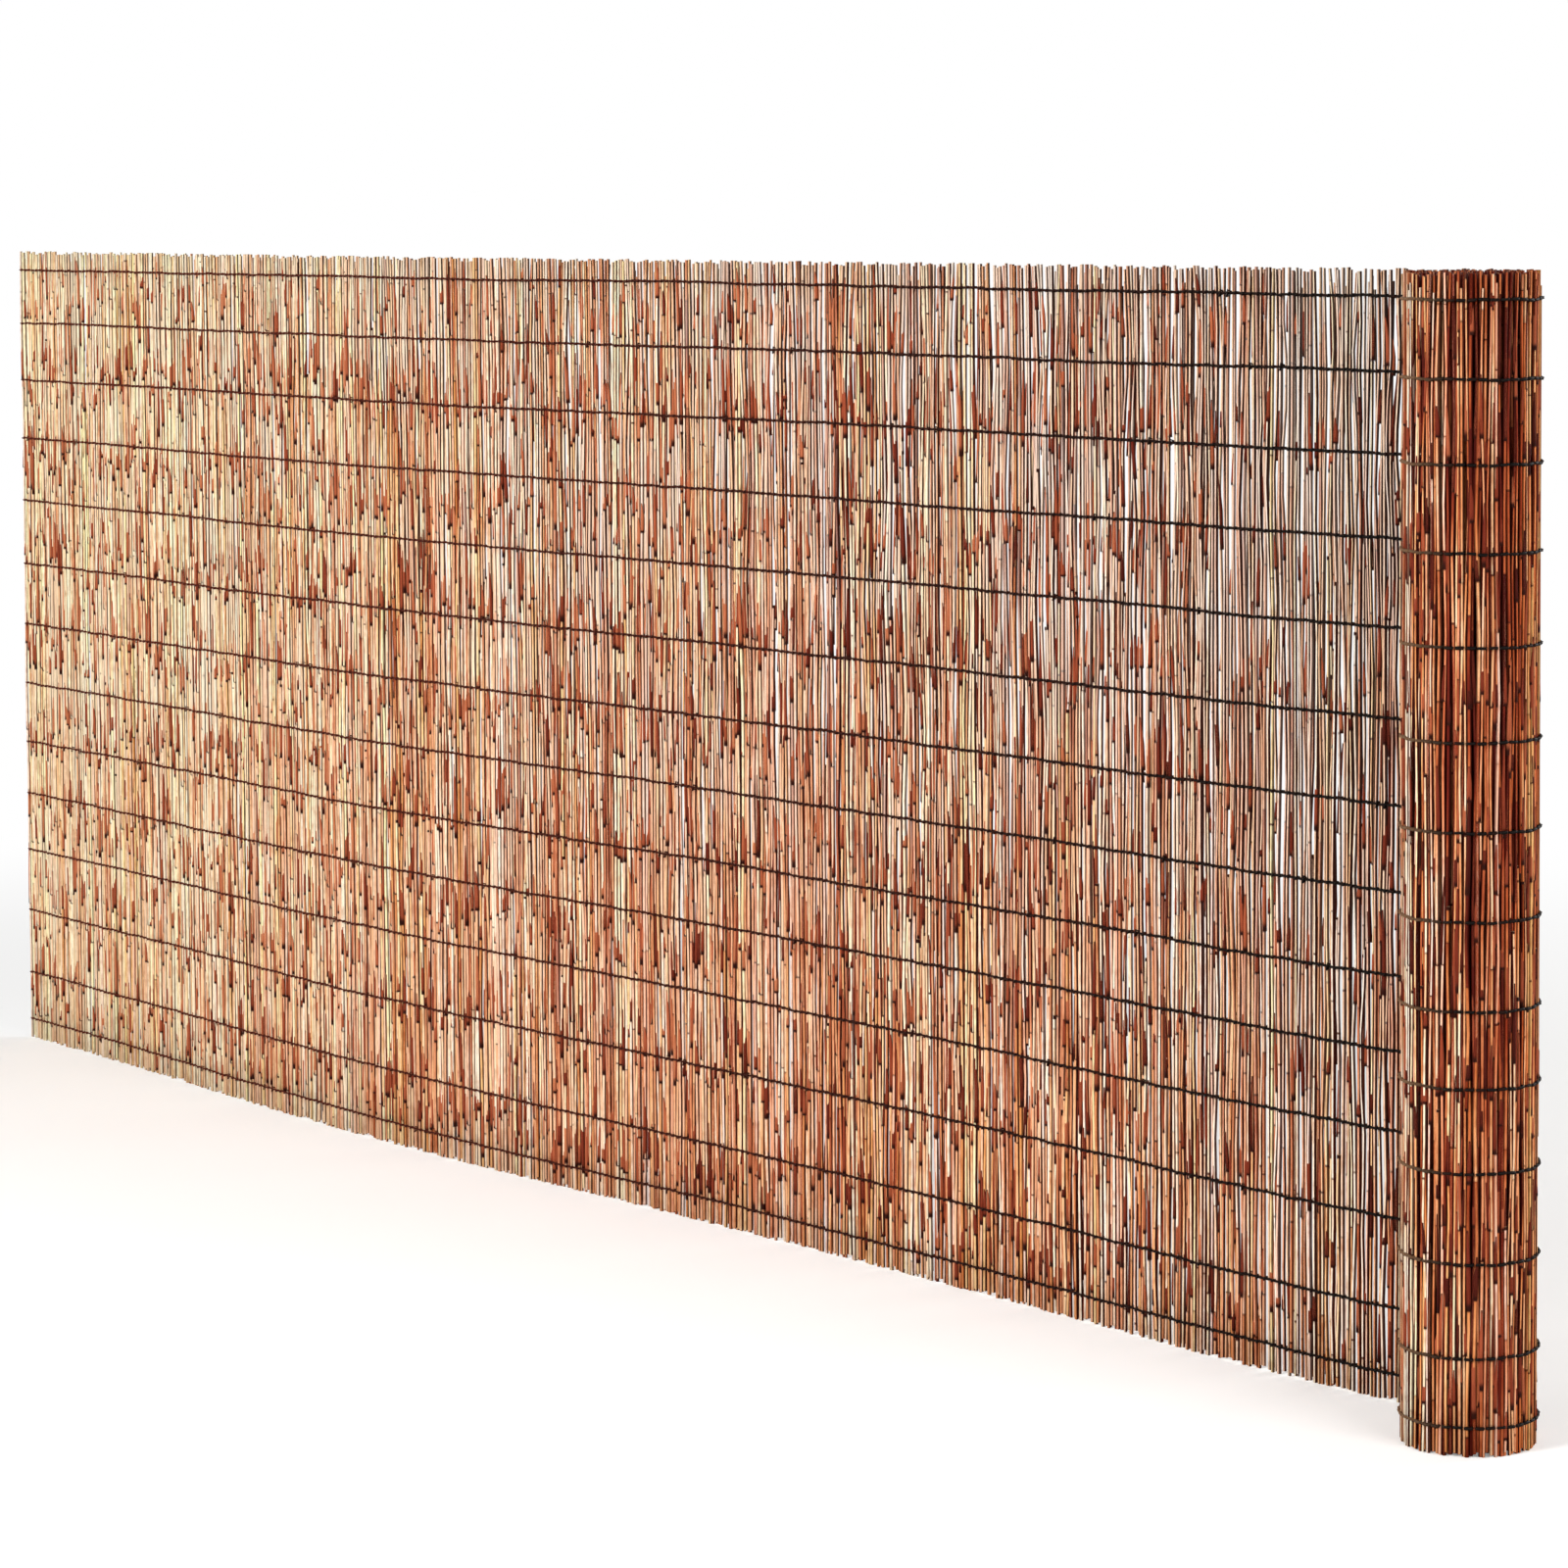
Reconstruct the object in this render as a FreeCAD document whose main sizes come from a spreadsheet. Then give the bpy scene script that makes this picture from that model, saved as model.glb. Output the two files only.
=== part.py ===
"""Reed fencing mat, part unrolled: upright reeds bound by fourteen rows of wire.

The mat stands on the cut ends of its reeds. The open run goes along +X in a slow wave, and at
its +X end the rest of the mat is wound into an upright roll that stands on the -Y side of the
run. Seen from above the mat goes round the roll clockwise, so the run's back is the roll's
outside. Sizes are in millimetres and degrees.

The reeds are one ridged wall, where each ridge is a reed and each waist is the line in which two
neighbours touch. The wall parts between two reeds, where the run ends and the roll starts. Each
row of binding has a carrier wire along the front and a stitch wire along the back.
"""
import FreeCAD, Part
import math
import os
import random

V = FreeCAD.Vector

# Driving dimensions

SIZES = {
    "mat_height": 1500,
    "reed_spacing": 10.5,
    "reed_depth": 6,
    "waist_depth": 1.8,
    "width_spread": 0.16,
    "depth_spread": 0.12,
    "tip_unevenness": 10,
    "reeds_per_bunch": 3,
    # The run, as four slow bends one after the other; a positive turn bears towards the back.
    "start_heading": -1.5,
    "free_end_length": 700,
    "free_end_turn": -2.5,
    "belly_length": 1000,
    "belly_turn": 6.5,
    "straight_length": 1459,
    "straight_turn": -3.5,
    "closing_length": 560,
    "closing_turn": 8,
    "run_flats": 8,
    # The roll
    "roll_line_radius": 90,
    "core_line_radius": 30,
    "turn_pitch": 10,
    "reeds_per_roll_flat": 3,
    "inner_flat_angle": 24,
    # Gaps that daylight shows through, in the run: columns along it and rows up it
    "gap_columns": 12,
    "gap_rows": 10,
    "gap_width": 2.4,
    "gap_widest": 6.0,
    "gap_shortest": 70,
    "gap_bridge": 12,
    "gap_foot_margin": 290,
    "gap_top_margin": 50,
    # Binding wires
    "carrier_wire_diameter": 1.6,
    "stitch_wire_diameter": 1.2,
    "wire_clearance": 0.3,
    "top_row_margin": 36,
    "bottom_row_margin": 38,
    "wire_end_reach": 3,
    "stitch_roll_angle": 330,
}

# Space between one wire row and the next, from the top down, as shares of the mean space.
ROW_SPACES = (0.91, 0.98, 1.02, 1.07, 1.10, 1.05, 1.03, 1.02, 0.91, 0.98, 1.06, 1.10, 0.81)

SEED = 14


def make_sheet(doc):
    """The spreadsheet that holds every driving dimension under its own name."""
    sheet = doc.addObject("Spreadsheet::Sheet", "Sizes")
    for row, (name, value) in enumerate(SIZES.items(), start=1):
        sheet.set(f"A{row}", name)
        sheet.set(f"B{row}", str(value))
        sheet.setAlias(f"B{row}", name)
    doc.recompute()
    return sheet


# The line of the mat

def run_bends(size):
    """The run's bends as pairs of length and turn."""
    names = ("free_end", "belly", "straight", "closing")
    return [(size(f"{name}_length"), size(f"{name}_turn")) for name in names]


def heading_on_run(size, distance):
    """Which way the mat goes, in degrees from +X, at a distance along the run."""
    heading = size("start_heading")
    for length, turn in run_bends(size):
        if distance <= length:
            return heading + turn * distance / length
        heading += turn
        distance -= length
    return heading


def reed_widths(size, count, draw):
    """Widths of neighbouring reeds, uneven as grown ones are."""
    spread = size("width_spread")
    return [size("reed_spacing") * (1 + spread * draw.uniform(-1, 1)) for _ in range(count)]


def run_flats(size, draw):
    """The run as equal flats, each with a heading and the widths of the reeds that fill it."""
    length = sum(bend[0] for bend in run_bends(size))
    flats = int(size("run_flats"))
    reeds = round(length / size("reed_spacing") / flats)
    result = []
    for number in range(flats):
        middle = length * (number + 0.5) / flats
        widths = reed_widths(size, reeds, draw)
        fill = length / flats / sum(widths)
        result.append((heading_on_run(size, middle), [width * fill for width in widths]))
    return result


def outer_turn_flats(size, draw):
    """The roll's outermost turn as flats of a few reeds, and the line's radius at its end."""
    heading = heading_on_run(size, sum(bend[0] for bend in run_bends(size)))
    radius = size("roll_line_radius")
    shrink = size("turn_pitch") / (2 * math.pi)
    turned = 0.0
    result = []
    while turned < 2 * math.pi:
        widths = reed_widths(size, int(size("reeds_per_roll_flat")), draw)
        step = sum(widths) / radius
        result.append((heading - math.degrees(turned + step / 2), widths))
        turned += step
        radius -= shrink * step
    return result, heading - math.degrees(turned), radius


def inner_turn_flats(size, heading, radius):
    """The roll's inner turns as plain flats, down to the core."""
    step = math.radians(size("inner_flat_angle"))
    shrink = size("turn_pitch") / (2 * math.pi)
    result = []
    while radius > size("core_line_radius"):
        result.append((heading - math.degrees(step / 2), [radius * step]))
        heading -= math.degrees(step)
        radius -= shrink * step
    return result


def along(heading):
    """Unit vector of a heading."""
    return V(math.cos(math.radians(heading)), math.sin(math.radians(heading)), 0)


def to_back(heading):
    """Unit vector square to a heading, towards the mat's back."""
    return V(-math.sin(math.radians(heading)), math.cos(math.radians(heading)), 0)


def corner_offset(before, after):
    """Vector that moves a corner of the line one unit towards the back, square to both flats."""
    middle = to_back((before + after) / 2)
    return middle / math.cos(math.radians((after - before) / 2))


def place_reeds(flats, start):
    """Walks the flats and gives, for each width, its two ends and its flat's heading."""
    point = start
    reeds = []
    for heading, widths in flats:
        for width in widths:
            end = point + along(heading) * width
            reeds.append((point, end, heading))
            point = end
    return reeds


# The ridged wall

def waist_vectors(reeds, first_heading, last_heading):
    """Offset vector at each place where two neighbours touch, the two ends included."""
    headings = [first_heading] + [reed[2] for reed in reeds] + [last_heading]
    return [corner_offset(a, b) for a, b in zip(headings, headings[1:])]


def bunch_outline(reeds, waists, crests, half_waist):
    """Plan outline of a bunch: along its front over each crest, and back along its back."""
    front = [reeds[0][0] - waists[0] * half_waist]
    back = [reeds[0][0] + waists[0] * half_waist]
    for (start, end, heading), waist, crest in zip(reeds, waists[1:], crests):
        middle = (start + end) / 2
        front += [middle - to_back(heading) * crest, end - waist * half_waist]
        back += [middle + to_back(heading) * crest, end + waist * half_waist]
    return front + back[::-1]


def plain_outline(flats, start, first_heading, half_depth):
    """Plan outline of a strip of constant depth along flats."""
    reeds = place_reeds(flats, start)
    offsets = waist_vectors(reeds, first_heading, reeds[-1][2])
    points = [reeds[0][0]] + [reed[1] for reed in reeds]
    front = [point - offset * half_depth for point, offset in zip(points, offsets)]
    back = [point + offset * half_depth for point, offset in zip(points, offsets)]
    return front + back[::-1]


def face_of(points):
    """Flat face inside a closed outline."""
    return Part.Face(Part.makePolygon(points + points[:1]))


def ridged_wall(size, reeds, waists, draw):
    """The reeds as one wall, in bunches that were cut to slightly different heights."""
    half_waist = size("waist_depth") / 2
    half_depth = size("reed_depth") / 2
    in_bunch = int(size("reeds_per_bunch"))
    bunches = []
    for first in range(0, len(reeds), in_bunch):
        bunch = reeds[first:first + in_bunch]
        crests = [half_depth * (1 - size("depth_spread") * draw.random()) for _ in bunch]
        outline = bunch_outline(bunch, waists[first:first + in_bunch + 1], crests, half_waist)
        short = size("tip_unevenness") * draw.random() if bunches else 0
        bunches.append(face_of(outline).extrude(V(0, 0, size("mat_height") - short)))
    return bunches


def as_one_solid(pieces):
    """Pieces that share faces, joined into one solid."""
    joined = pieces[0].multiFuse(pieces[1:])
    return joined.Solids[0] if len(joined.Solids) == 1 else joined


def gap_slots(size, reeds, draw):
    """Upright slots between neighbouring reeds, one somewhere in each cell of a grid.

    They get wider towards the roll, and a bridge parts each from the next row's slots.
    """
    columns = int(size("gap_columns"))
    rows = int(size("gap_rows"))
    low = size("gap_foot_margin")
    row_height = (size("mat_height") - size("gap_top_margin") - low) / rows
    longest = row_height - size("gap_bridge")
    through = size("reed_depth") * 2
    joints = [n for n in range(1, len(reeds) - 1) if reeds[n][2] == reeds[n + 1][2]]
    in_column = len(joints) // columns
    slots = []
    for column in range(columns):
        choice = joints[column * in_column + 1:(column + 1) * in_column]
        for row in range(rows):
            joint = draw.choice(choice)
            width = size("gap_width") + (size("gap_widest") - size("gap_width")) * joint / len(reeds)
            length = draw.uniform(size("gap_shortest"), longest)
            bottom = low + row_height * row + (longest - length) * draw.random()
            slot = Part.makeBox(width, through, length, V(-width / 2, -through / 2, 0))
            slot.rotate(V(0, 0, 0), V(0, 0, 1), reeds[joint][2])
            slot.translate(reeds[joint][1] + V(0, 0, bottom))
            slots.append(slot)
    return slots


# Binding wires

def wire_line(start, flats):
    """Corner points of the mat's line along whole flats, with the offset vector at each."""
    points = [start]
    for heading, widths in flats:
        points.append(points[-1] + along(heading) * sum(widths))
    headings = [flats[0][0]] + [heading for heading, _ in flats] + [flats[-1][0]]
    return points, [corner_offset(a, b) for a, b in zip(headings, headings[1:])]


def wire_strip(points, offsets, side, stand_off, diameter, reach):
    """Plan outline of a wire beside the mat; its free end turns in round the last reed.

    side is 1 for the back and -1 for the front, and stand_off is from the mat's line to the
    wire's near face.
    """
    near = [point + offset * side * stand_off for point, offset in zip(points, offsets)]
    far = [point + offset * side * (stand_off + diameter) for point, offset in zip(points, offsets)]
    back_along = (points[0] - points[1]).normalize()
    near[0] = near[0] + back_along * reach
    far[0] = far[0] + back_along * (reach + diameter)
    hook_inner = points[0] + back_along * reach
    hook_outer = points[0] + back_along * (reach + diameter)
    return [hook_inner] + near + far[::-1] + [hook_outer]


def row_heights(size):
    """Height of each wire row's middle above the ground, from the top down."""
    low = size("bottom_row_margin")
    high = size("mat_height") - size("top_row_margin")
    share = 0.0
    heights = [high]
    for space in ROW_SPACES:
        share += space / sum(ROW_SPACES)
        heights.append(high - (high - low) * share)
    return heights


def add_wires(doc, name, strip, size, diameter_name):
    """One wire per row, each the same plan strip raised to its row and as thick as its wire."""
    plan = doc.addObject("Part::Feature", f"{name}_plan")
    plan.Shape = face_of(strip)
    wires = []
    for number, height in enumerate(row_heights(size), start=1):
        wire = doc.addObject("Part::Extrusion", f"{name}_{number:02d}")
        wire.Label = f"{name}_{number:02d}"
        wire.Base = plan
        wire.DirMode = "Custom"
        wire.Dir = V(0, 0, 1)
        wire.Solid = True
        wire.setExpression("LengthFwd", f"Sizes.{diameter_name}")
        wire.Placement = FreeCAD.Placement(V(0, 0, height - size(diameter_name) / 2), FreeCAD.Rotation())
        wires.append(wire)
    return wires


def wire_strips(size, start, open_flats, bound_roll_flats):
    """Plan outlines of a carrier wire, along the run's front, and of a stitch wire, along the back."""
    stand_off = size("reed_depth") / 2 + size("wire_clearance")
    reach = size("wire_end_reach")
    points, offsets = wire_line(start, open_flats)
    carrier = wire_strip(points, offsets, -1, stand_off, size("carrier_wire_diameter"), reach)
    points, offsets = wire_line(start, open_flats + bound_roll_flats)
    stitch = wire_strip(points, offsets, 1, stand_off, size("stitch_wire_diameter"), reach)
    return carrier, stitch


def middle_of(outlines):
    """Middle of the box round some outlines."""
    box = FreeCAD.BoundBox()
    for outline in outlines:
        for point in outline:
            box.add(point)
    return V((box.XMin + box.XMax) / 2, (box.YMin + box.YMax) / 2, 0)


# Sub-parts

def build(doc):
    """Makes every sub-part, with the origin on the ground under the mat's middle, and returns them."""
    sheet = make_sheet(doc)

    def size(name):
        """Value of a driving dimension."""
        return float(sheet.get(name))

    draw = random.Random(SEED)
    open_flats = run_flats(size, draw)
    roll_flats, inner_heading, inner_radius = outer_turn_flats(size, draw)
    core_flats = inner_turn_flats(size, inner_heading, inner_radius)
    last_heading = open_flats[-1][0] - size("stitch_roll_angle")
    bound_roll_flats = [flat for flat in roll_flats if flat[0] > last_heading]

    # The wires lie outside the reeds all round, so their outlines give the mat's middle.
    start = -middle_of(wire_strips(size, V(0, 0, 0), open_flats, bound_roll_flats))
    carrier, stitch = wire_strips(size, start, open_flats, bound_roll_flats)
    open_reeds = place_reeds(open_flats, start)
    roll_reeds = place_reeds(roll_flats, open_reeds[-1][1])
    open_waists = waist_vectors(open_reeds, open_flats[0][0], roll_reeds[0][2])
    roll_waists = waist_vectors(roll_reeds, open_reeds[-1][2], core_flats[0][0])

    wall = doc.addObject("Part::Feature", "open_wall")
    wall.Shape = as_one_solid(ridged_wall(size, open_reeds, open_waists, draw))
    slots = doc.addObject("Part::Feature", "gap_slots")
    slots.Shape = Part.makeCompound(gap_slots(size, open_reeds, draw))
    open_mat = doc.addObject("Part::Cut", "open_reed_mat")
    open_mat.Label = "open_reed_mat"
    open_mat.Base = wall
    open_mat.Tool = slots

    outer_turn = ridged_wall(size, roll_reeds, roll_waists, draw)
    mean_depth = (size("reed_depth") + size("waist_depth")) / 2
    inner = plain_outline(core_flats, roll_reeds[-1][1], roll_reeds[-1][2], mean_depth / 2)
    inner_turns = face_of(inner).extrude(V(0, 0, size("mat_height")))
    rolled_mat = doc.addObject("Part::Feature", "rolled_reed_mat")
    rolled_mat.Label = "rolled_reed_mat"
    rolled_mat.Shape = as_one_solid(outer_turn + [inner_turns])

    carriers = add_wires(doc, "carrier_wire", carrier, size, "carrier_wire_diameter")
    stitches = add_wires(doc, "stitch_wire", stitch, size, "stitch_wire_diameter")

    doc.recompute()
    return [open_mat, rolled_mat] + carriers + stitches


def check(doc, parts):
    """Stops if anything failed to build."""
    for item in doc.Objects:
        if "Invalid" in item.State or "Error" in item.State:
            raise RuntimeError(f"{item.Name} failed: {item.State}")
    for part in parts:
        if part.Shape.isNull() or not part.Shape.isValid():
            raise RuntimeError(f"{part.Label} has no valid shape")
        if len(part.Shape.Solids) != 1:
            raise RuntimeError(f"{part.Label} is {len(part.Shape.Solids)} solids")


def main():
    """Builds the mat, checks it and writes one file for each sub-part."""
    doc = FreeCAD.newDocument("reed_fencing_mat")
    parts = build(doc)
    check(doc, parts)
    os.makedirs("parts", exist_ok=True)
    for part in parts:
        part.Shape.exportStep(f"parts/{part.Label}.step")
    print(f"{len(parts)} sub-parts written")


main()
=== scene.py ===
"""Looks of a reed fencing mat: an open run of upright reeds whose end is wound into a roll.

Sizes are in metres and degrees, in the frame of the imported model. The mat follows one line, seen
from above: the run's slow bends, then the turns of the roll. Reeds, their leaf sheaths and the
rows of binding wire are set out along that line by node trees.
"""
from __future__ import annotations

import logging
import math
from collections.abc import Iterable, Mapping, Sequence
from dataclasses import asdict, dataclass, field, fields, replace
from enum import Enum
from functools import partial, reduce
from typing import Any

import bpy
from mathutils import Matrix, Vector

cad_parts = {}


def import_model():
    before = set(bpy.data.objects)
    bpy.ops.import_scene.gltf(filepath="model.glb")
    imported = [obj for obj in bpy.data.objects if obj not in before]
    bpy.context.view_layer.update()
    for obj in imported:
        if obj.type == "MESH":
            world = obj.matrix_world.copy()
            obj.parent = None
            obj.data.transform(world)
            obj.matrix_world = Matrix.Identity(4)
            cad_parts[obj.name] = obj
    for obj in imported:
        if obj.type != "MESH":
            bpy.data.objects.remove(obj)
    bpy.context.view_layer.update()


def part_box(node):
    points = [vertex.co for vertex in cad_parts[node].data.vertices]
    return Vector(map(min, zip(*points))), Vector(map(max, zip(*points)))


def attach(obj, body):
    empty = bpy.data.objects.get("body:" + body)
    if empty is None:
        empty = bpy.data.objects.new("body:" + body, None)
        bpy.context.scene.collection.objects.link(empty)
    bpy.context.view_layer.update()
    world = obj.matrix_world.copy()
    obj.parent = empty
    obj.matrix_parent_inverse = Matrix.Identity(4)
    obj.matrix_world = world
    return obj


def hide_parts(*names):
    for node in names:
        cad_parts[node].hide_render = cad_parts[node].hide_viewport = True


log = logging.getLogger("reed_mat")

BODY = "root"
IMAGE_SIDE = 1600
BAKE_MAP = "OFBake"
# Shares of the mat's length at which the roll and its inner turns start
ROLL_START = 0.72
INNER_START = 0.84
# Specular level of dull reed and wire
GLOSS = 0.07
Colour = tuple[int, int, int]
Palette = tuple[tuple[float, Colour], ...]
Pair = tuple[float, float]
Place = tuple[float, float, float]
Socket = bpy.types.NodeSocket
Material = bpy.types.Material


class Stretch(Enum):
    """The stretches of the mat's line."""

    RUN = "run"
    OUTER_TURN = "outer_turn"
    INNER_TURNS = "inner_turns"


class Slot(Enum):
    """Names of the material slots."""

    REED = "reed"
    STITCH = "stitch_wire"


def linear(colour: Colour) -> tuple[float, float, float, float]:
    """Turns a colour as seen on a screen into the linear one that a node takes.

    Args:
        colour: Red, green and blue from 0 to 255.

    Returns:
        Linear red, green and blue from 0 to 1, and full opacity.
    """
    parts = [value / 255 for value in colour]
    red, green, blue = (
        part / 12.92 if part <= 0.04045 else ((part + 0.055) / 1.055) ** 2.4 for part in parts
    )
    return red, green, blue, 1.0


def added(name: str, data: Any) -> bpy.types.Object:
    """Makes an object of a mesh, light or camera and adds it to the scene."""
    made = bpy.data.objects.new(name, data)
    bpy.context.scene.collection.objects.link(made)
    return made


# Node trees


class NodeSheet:
    """A node tree under construction, of shapes or of a finish."""

    def __init__(self, tree: bpy.types.NodeTree) -> None:
        """Takes the tree that the nodes go into."""
        self.tree = tree

    def put(
        self, kind: str, sockets: Mapping[str | int, Any] | None = None, **settings: Any
    ) -> bpy.types.Node:
        """Adds a node.

        Args:
            kind: Type name of the node.
            sockets: Values or links for its inputs, by name or number.
            **settings: The node's own settings.

        Returns:
            The node.
        """
        node = self.tree.nodes.new(kind)
        for name, value in settings.items():
            setattr(node, name, value)
        for key, value in (sockets or {}).items():
            self.feed(node, key, value)
        return node

    def feed(self, node: bpy.types.Node, key: str | int, value: Any) -> None:
        """Links an input to a socket, or sets its value.

        Args:
            node: Node with the input.
            key: Name or number of the input.
            value: A socket to link from, or a plain value.
        """
        if isinstance(key, int):
            socket = node.inputs[key]
        else:
            socket = next(s for s in node.inputs if s.enabled and s.name == key)
        if isinstance(value, Socket):
            self.tree.links.new(value, socket)
        else:
            socket.default_value = value

    def math(self, operation: str, *values: Any) -> Socket:
        """Adds a math node on one to three values and returns its result."""
        return self.put("ShaderNodeMath", dict(enumerate(values)), operation=operation).outputs[0]

    def total(self, *values: Any) -> Socket:
        """Adds up any number of values and returns the sum."""
        return reduce(partial(self.math, "ADD"), values)

    def times(self, *values: Any) -> Socket:
        """Multiplies any number of values and returns the product."""
        return reduce(partial(self.math, "MULTIPLY"), values)

    def less(self, value: Any, taken: Any) -> Socket:
        """Returns what is left of a value when another is taken from it."""
        return self.math("SUBTRACT", value, taken)

    def over(self, value: Any, divisor: Any) -> Socket:
        """Returns a value divided by another."""
        return self.math("DIVIDE", value, divisor)

    def more(self, value: Any, limit: Any) -> Socket:
        """Returns one where a value is over a limit, and zero elsewhere."""
        return self.math("GREATER_THAN", value, limit)

    def mix(self, factor: Any, low: Any, high: Any) -> Socket:
        """Returns the value at a share of the way from low to high."""
        return self.put("ShaderNodeMix", {0: factor, 2: low, 3: high}, clamp_factor=False).outputs[0]

    def ramp_value(
        self, value: Any, low: float, high: float, start: float = 0.0, end: float = 1.0
    ) -> Socket:
        """Maps a value smoothly from one range to another.

        Args:
            value: The value.
            low: Lowest value of the range it is in.
            high: Highest value of that range.
            start: Result at the lowest value.
            end: Result at the highest value.

        Returns:
            The result's socket.
        """
        sockets = {0: value, 1: low, 2: high, 3: start, 4: end}
        return self.put("ShaderNodeMapRange", sockets, interpolation_type="SMOOTHSTEP").outputs[0]

    def join(self, x: Any = 0.0, y: Any = 0.0, z: Any = 0.0) -> Socket:
        """Returns a vector made of three numbers."""
        return self.put("ShaderNodeCombineXYZ", {0: x, 1: y, 2: z}).outputs[0]

    def split(self, vector: Any) -> Sequence[Socket]:
        """Returns a vector's three numbers."""
        return self.put("ShaderNodeSeparateXYZ", {0: vector}).outputs

    def vector(self, operation: str, *values: Any) -> Socket:
        """Adds a vector math node and returns its vector."""
        return self.put(
            "ShaderNodeVectorMath", dict(enumerate(values)), operation=operation
        ).outputs["Vector"]

    def scaled(self, vector: Any, factor: Any) -> Socket:
        """Returns a vector times a number."""
        return self.put(
            "ShaderNodeVectorMath", {0: vector, "Scale": factor}, operation="SCALE"
        ).outputs["Vector"]

    def noise(self, vector: Any, detail: float = 0.0, rough: float = 0.5) -> Socket:
        """Returns smooth noise from 0 to 1, mostly near a half, at a place in two dimensions."""
        sockets = {"Vector": vector, "Scale": 1.0, "Detail": detail, "Roughness": rough}
        return self.put("ShaderNodeTexNoise", sockets, noise_dimensions="2D").outputs[0]

    def grain(self, x: Any, y: Any, scale: Pair, detail: float = 0.0, rough: float = 0.5) -> Socket:
        """Returns smooth noise from 0 to 1 at two numbers, each times its own scale."""
        place = self.join(self.times(x, scale[0]), self.times(y, scale[1]))
        return self.noise(place, detail, rough)

    def waver(self, x: Any, y: Any, scale: Pair, detail: float = 0.0, rough: float = 0.5) -> Socket:
        """Returns the same noise round zero."""
        return self.less(self.grain(x, y, scale, detail, rough), 0.5)


class ShapeTree(NodeSheet):
    """A tree that makes shapes, with named inputs for its sizes."""

    def __init__(self, name: str) -> None:
        """Starts an empty tree of that name."""
        super().__init__(bpy.data.node_groups.new(name, "GeometryNodeTree"))
        self.tree.is_modifier = True
        self.identifiers: dict[str, str] = {}
        self._inlet = self.tree.nodes.new("NodeGroupInput")
        self.line = self.size("line", "Geometry")
        self.s: dict[str, Socket] = {}
        self.tree.interface.new_socket(
            "Geometry", in_out="OUTPUT", socket_type="NodeSocketGeometry"
        )

    def size(self, name: str, kind: str) -> Socket:
        """Adds an input to the tree.

        Args:
            name: Name of the size.
            kind: Float, Int, Material or Geometry.

        Returns:
            The input's socket.
        """
        title = name.replace("_", " ").title()
        item = self.tree.interface.new_socket(
            title, in_out="INPUT", socket_type=f"NodeSocket{kind}"
        )
        self.identifiers[name] = item.identifier
        return self._inlet.outputs[title]

    def sizes(self, owner: type) -> dict[str, Socket]:
        """Adds an input for each field of a class of sizes and returns their sockets by name."""
        return {item.name: self.size(item.name, item.type.capitalize()) for item in fields(owner)}

    def chance(self, low: Any, high: Any, identity: Any, seed: Any) -> Socket:
        """Returns a random number between two others, fixed for an identity and a seed."""
        return self.put(
            "FunctionNodeRandomValue",
            {2: low, 3: high, "ID": identity, "Seed": seed},
            data_type="FLOAT",
        ).outputs[1]

    def dice(self, identity: Any, number: int, low: float = 0.0, high: float = 1.0) -> Socket:
        """Returns the throw of one of the tree's numbered dice for an identity."""
        return self.chance(low, high, identity, self.total(self.s["seed"], float(number)))

    def choose(self, test: Any, no: Any, yes: Any) -> Socket:
        """Returns one number or another, by a test."""
        return self.put(
            "GeometryNodeSwitch", {0: test, 1: no, 2: yes}, input_type="FLOAT"
        ).outputs[0]

    def read(self, name: str, kind: str = "FLOAT") -> Socket:
        """Returns the value kept under a name."""
        sockets = {"Name": name}
        return self.put("GeometryNodeInputNamedAttribute", sockets, data_type=kind).outputs[0]

    def number(self) -> Socket:
        """Returns each point's number."""
        return self.put("GeometryNodeInputIndex").outputs[0]

    def position(self) -> Socket:
        """Returns each point's position."""
        return self.put("GeometryNodeInputPosition").outputs[0]

    def keep(
        self, shape: Any, name: str, value: Any, kind: str = "FLOAT", domain: str = "POINT"
    ) -> Socket:
        """Keeps a value on a shape under a name.

        Args:
            shape: The shape's socket.
            name: Name that a finish or another node reads it by.
            value: The value's socket.
            kind: FLOAT, FLOAT_VECTOR or FLOAT2.
            domain: POINT, FACE or CORNER.

        Returns:
            The shape's new socket.
        """
        sockets = {"Geometry": shape, "Name": name, "Value": value}
        return self.put(
            "GeometryNodeStoreNamedAttribute", sockets, data_type=kind, domain=domain
        ).outputs[0]

    def forget(self, shape: Any, names: Iterable[str]) -> Socket:
        """Drops values that a shape keeps.

        Args:
            shape: The shape's socket.
            names: Names that the values are kept under.

        Returns:
            The shape's new socket.
        """
        for name in names:
            sockets = {"Geometry": shape, "Name": name}
            shape = self.put("GeometryNodeRemoveAttribute", sockets).outputs[0]
        return shape

    def without(self, points: Any, first_test: Any, second_test: Any) -> Socket:
        """Drops the points for which one of two tests holds and returns the others."""
        sockets = {"Geometry": points, "Selection": self.math("MAXIMUM", first_test, second_test)}
        return self.put("GeometryNodeDeleteGeometry", sockets, domain="POINT").outputs[0]

    def copied(self, points: Any, amount: int, name: str) -> Socket:
        """Repeats each point, and keeps the number of each copy under a name."""
        sockets = {"Geometry": points, "Amount": amount}
        many = self.put("GeometryNodeDuplicateElements", sockets, domain="POINT")
        return self.keep(many.outputs[0], name, many.outputs[1])

    def on_points(self, points: Any, shape: Any) -> Socket:
        """Puts a shape on each point and returns the shapes as one mesh."""
        sockets = {"Points": points, "Instance": shape}
        placed = self.put("GeometryNodeInstanceOnPoints", sockets).outputs[0]
        return self.put("GeometryNodeRealizeInstances", {"Geometry": placed}).outputs[0]

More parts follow.
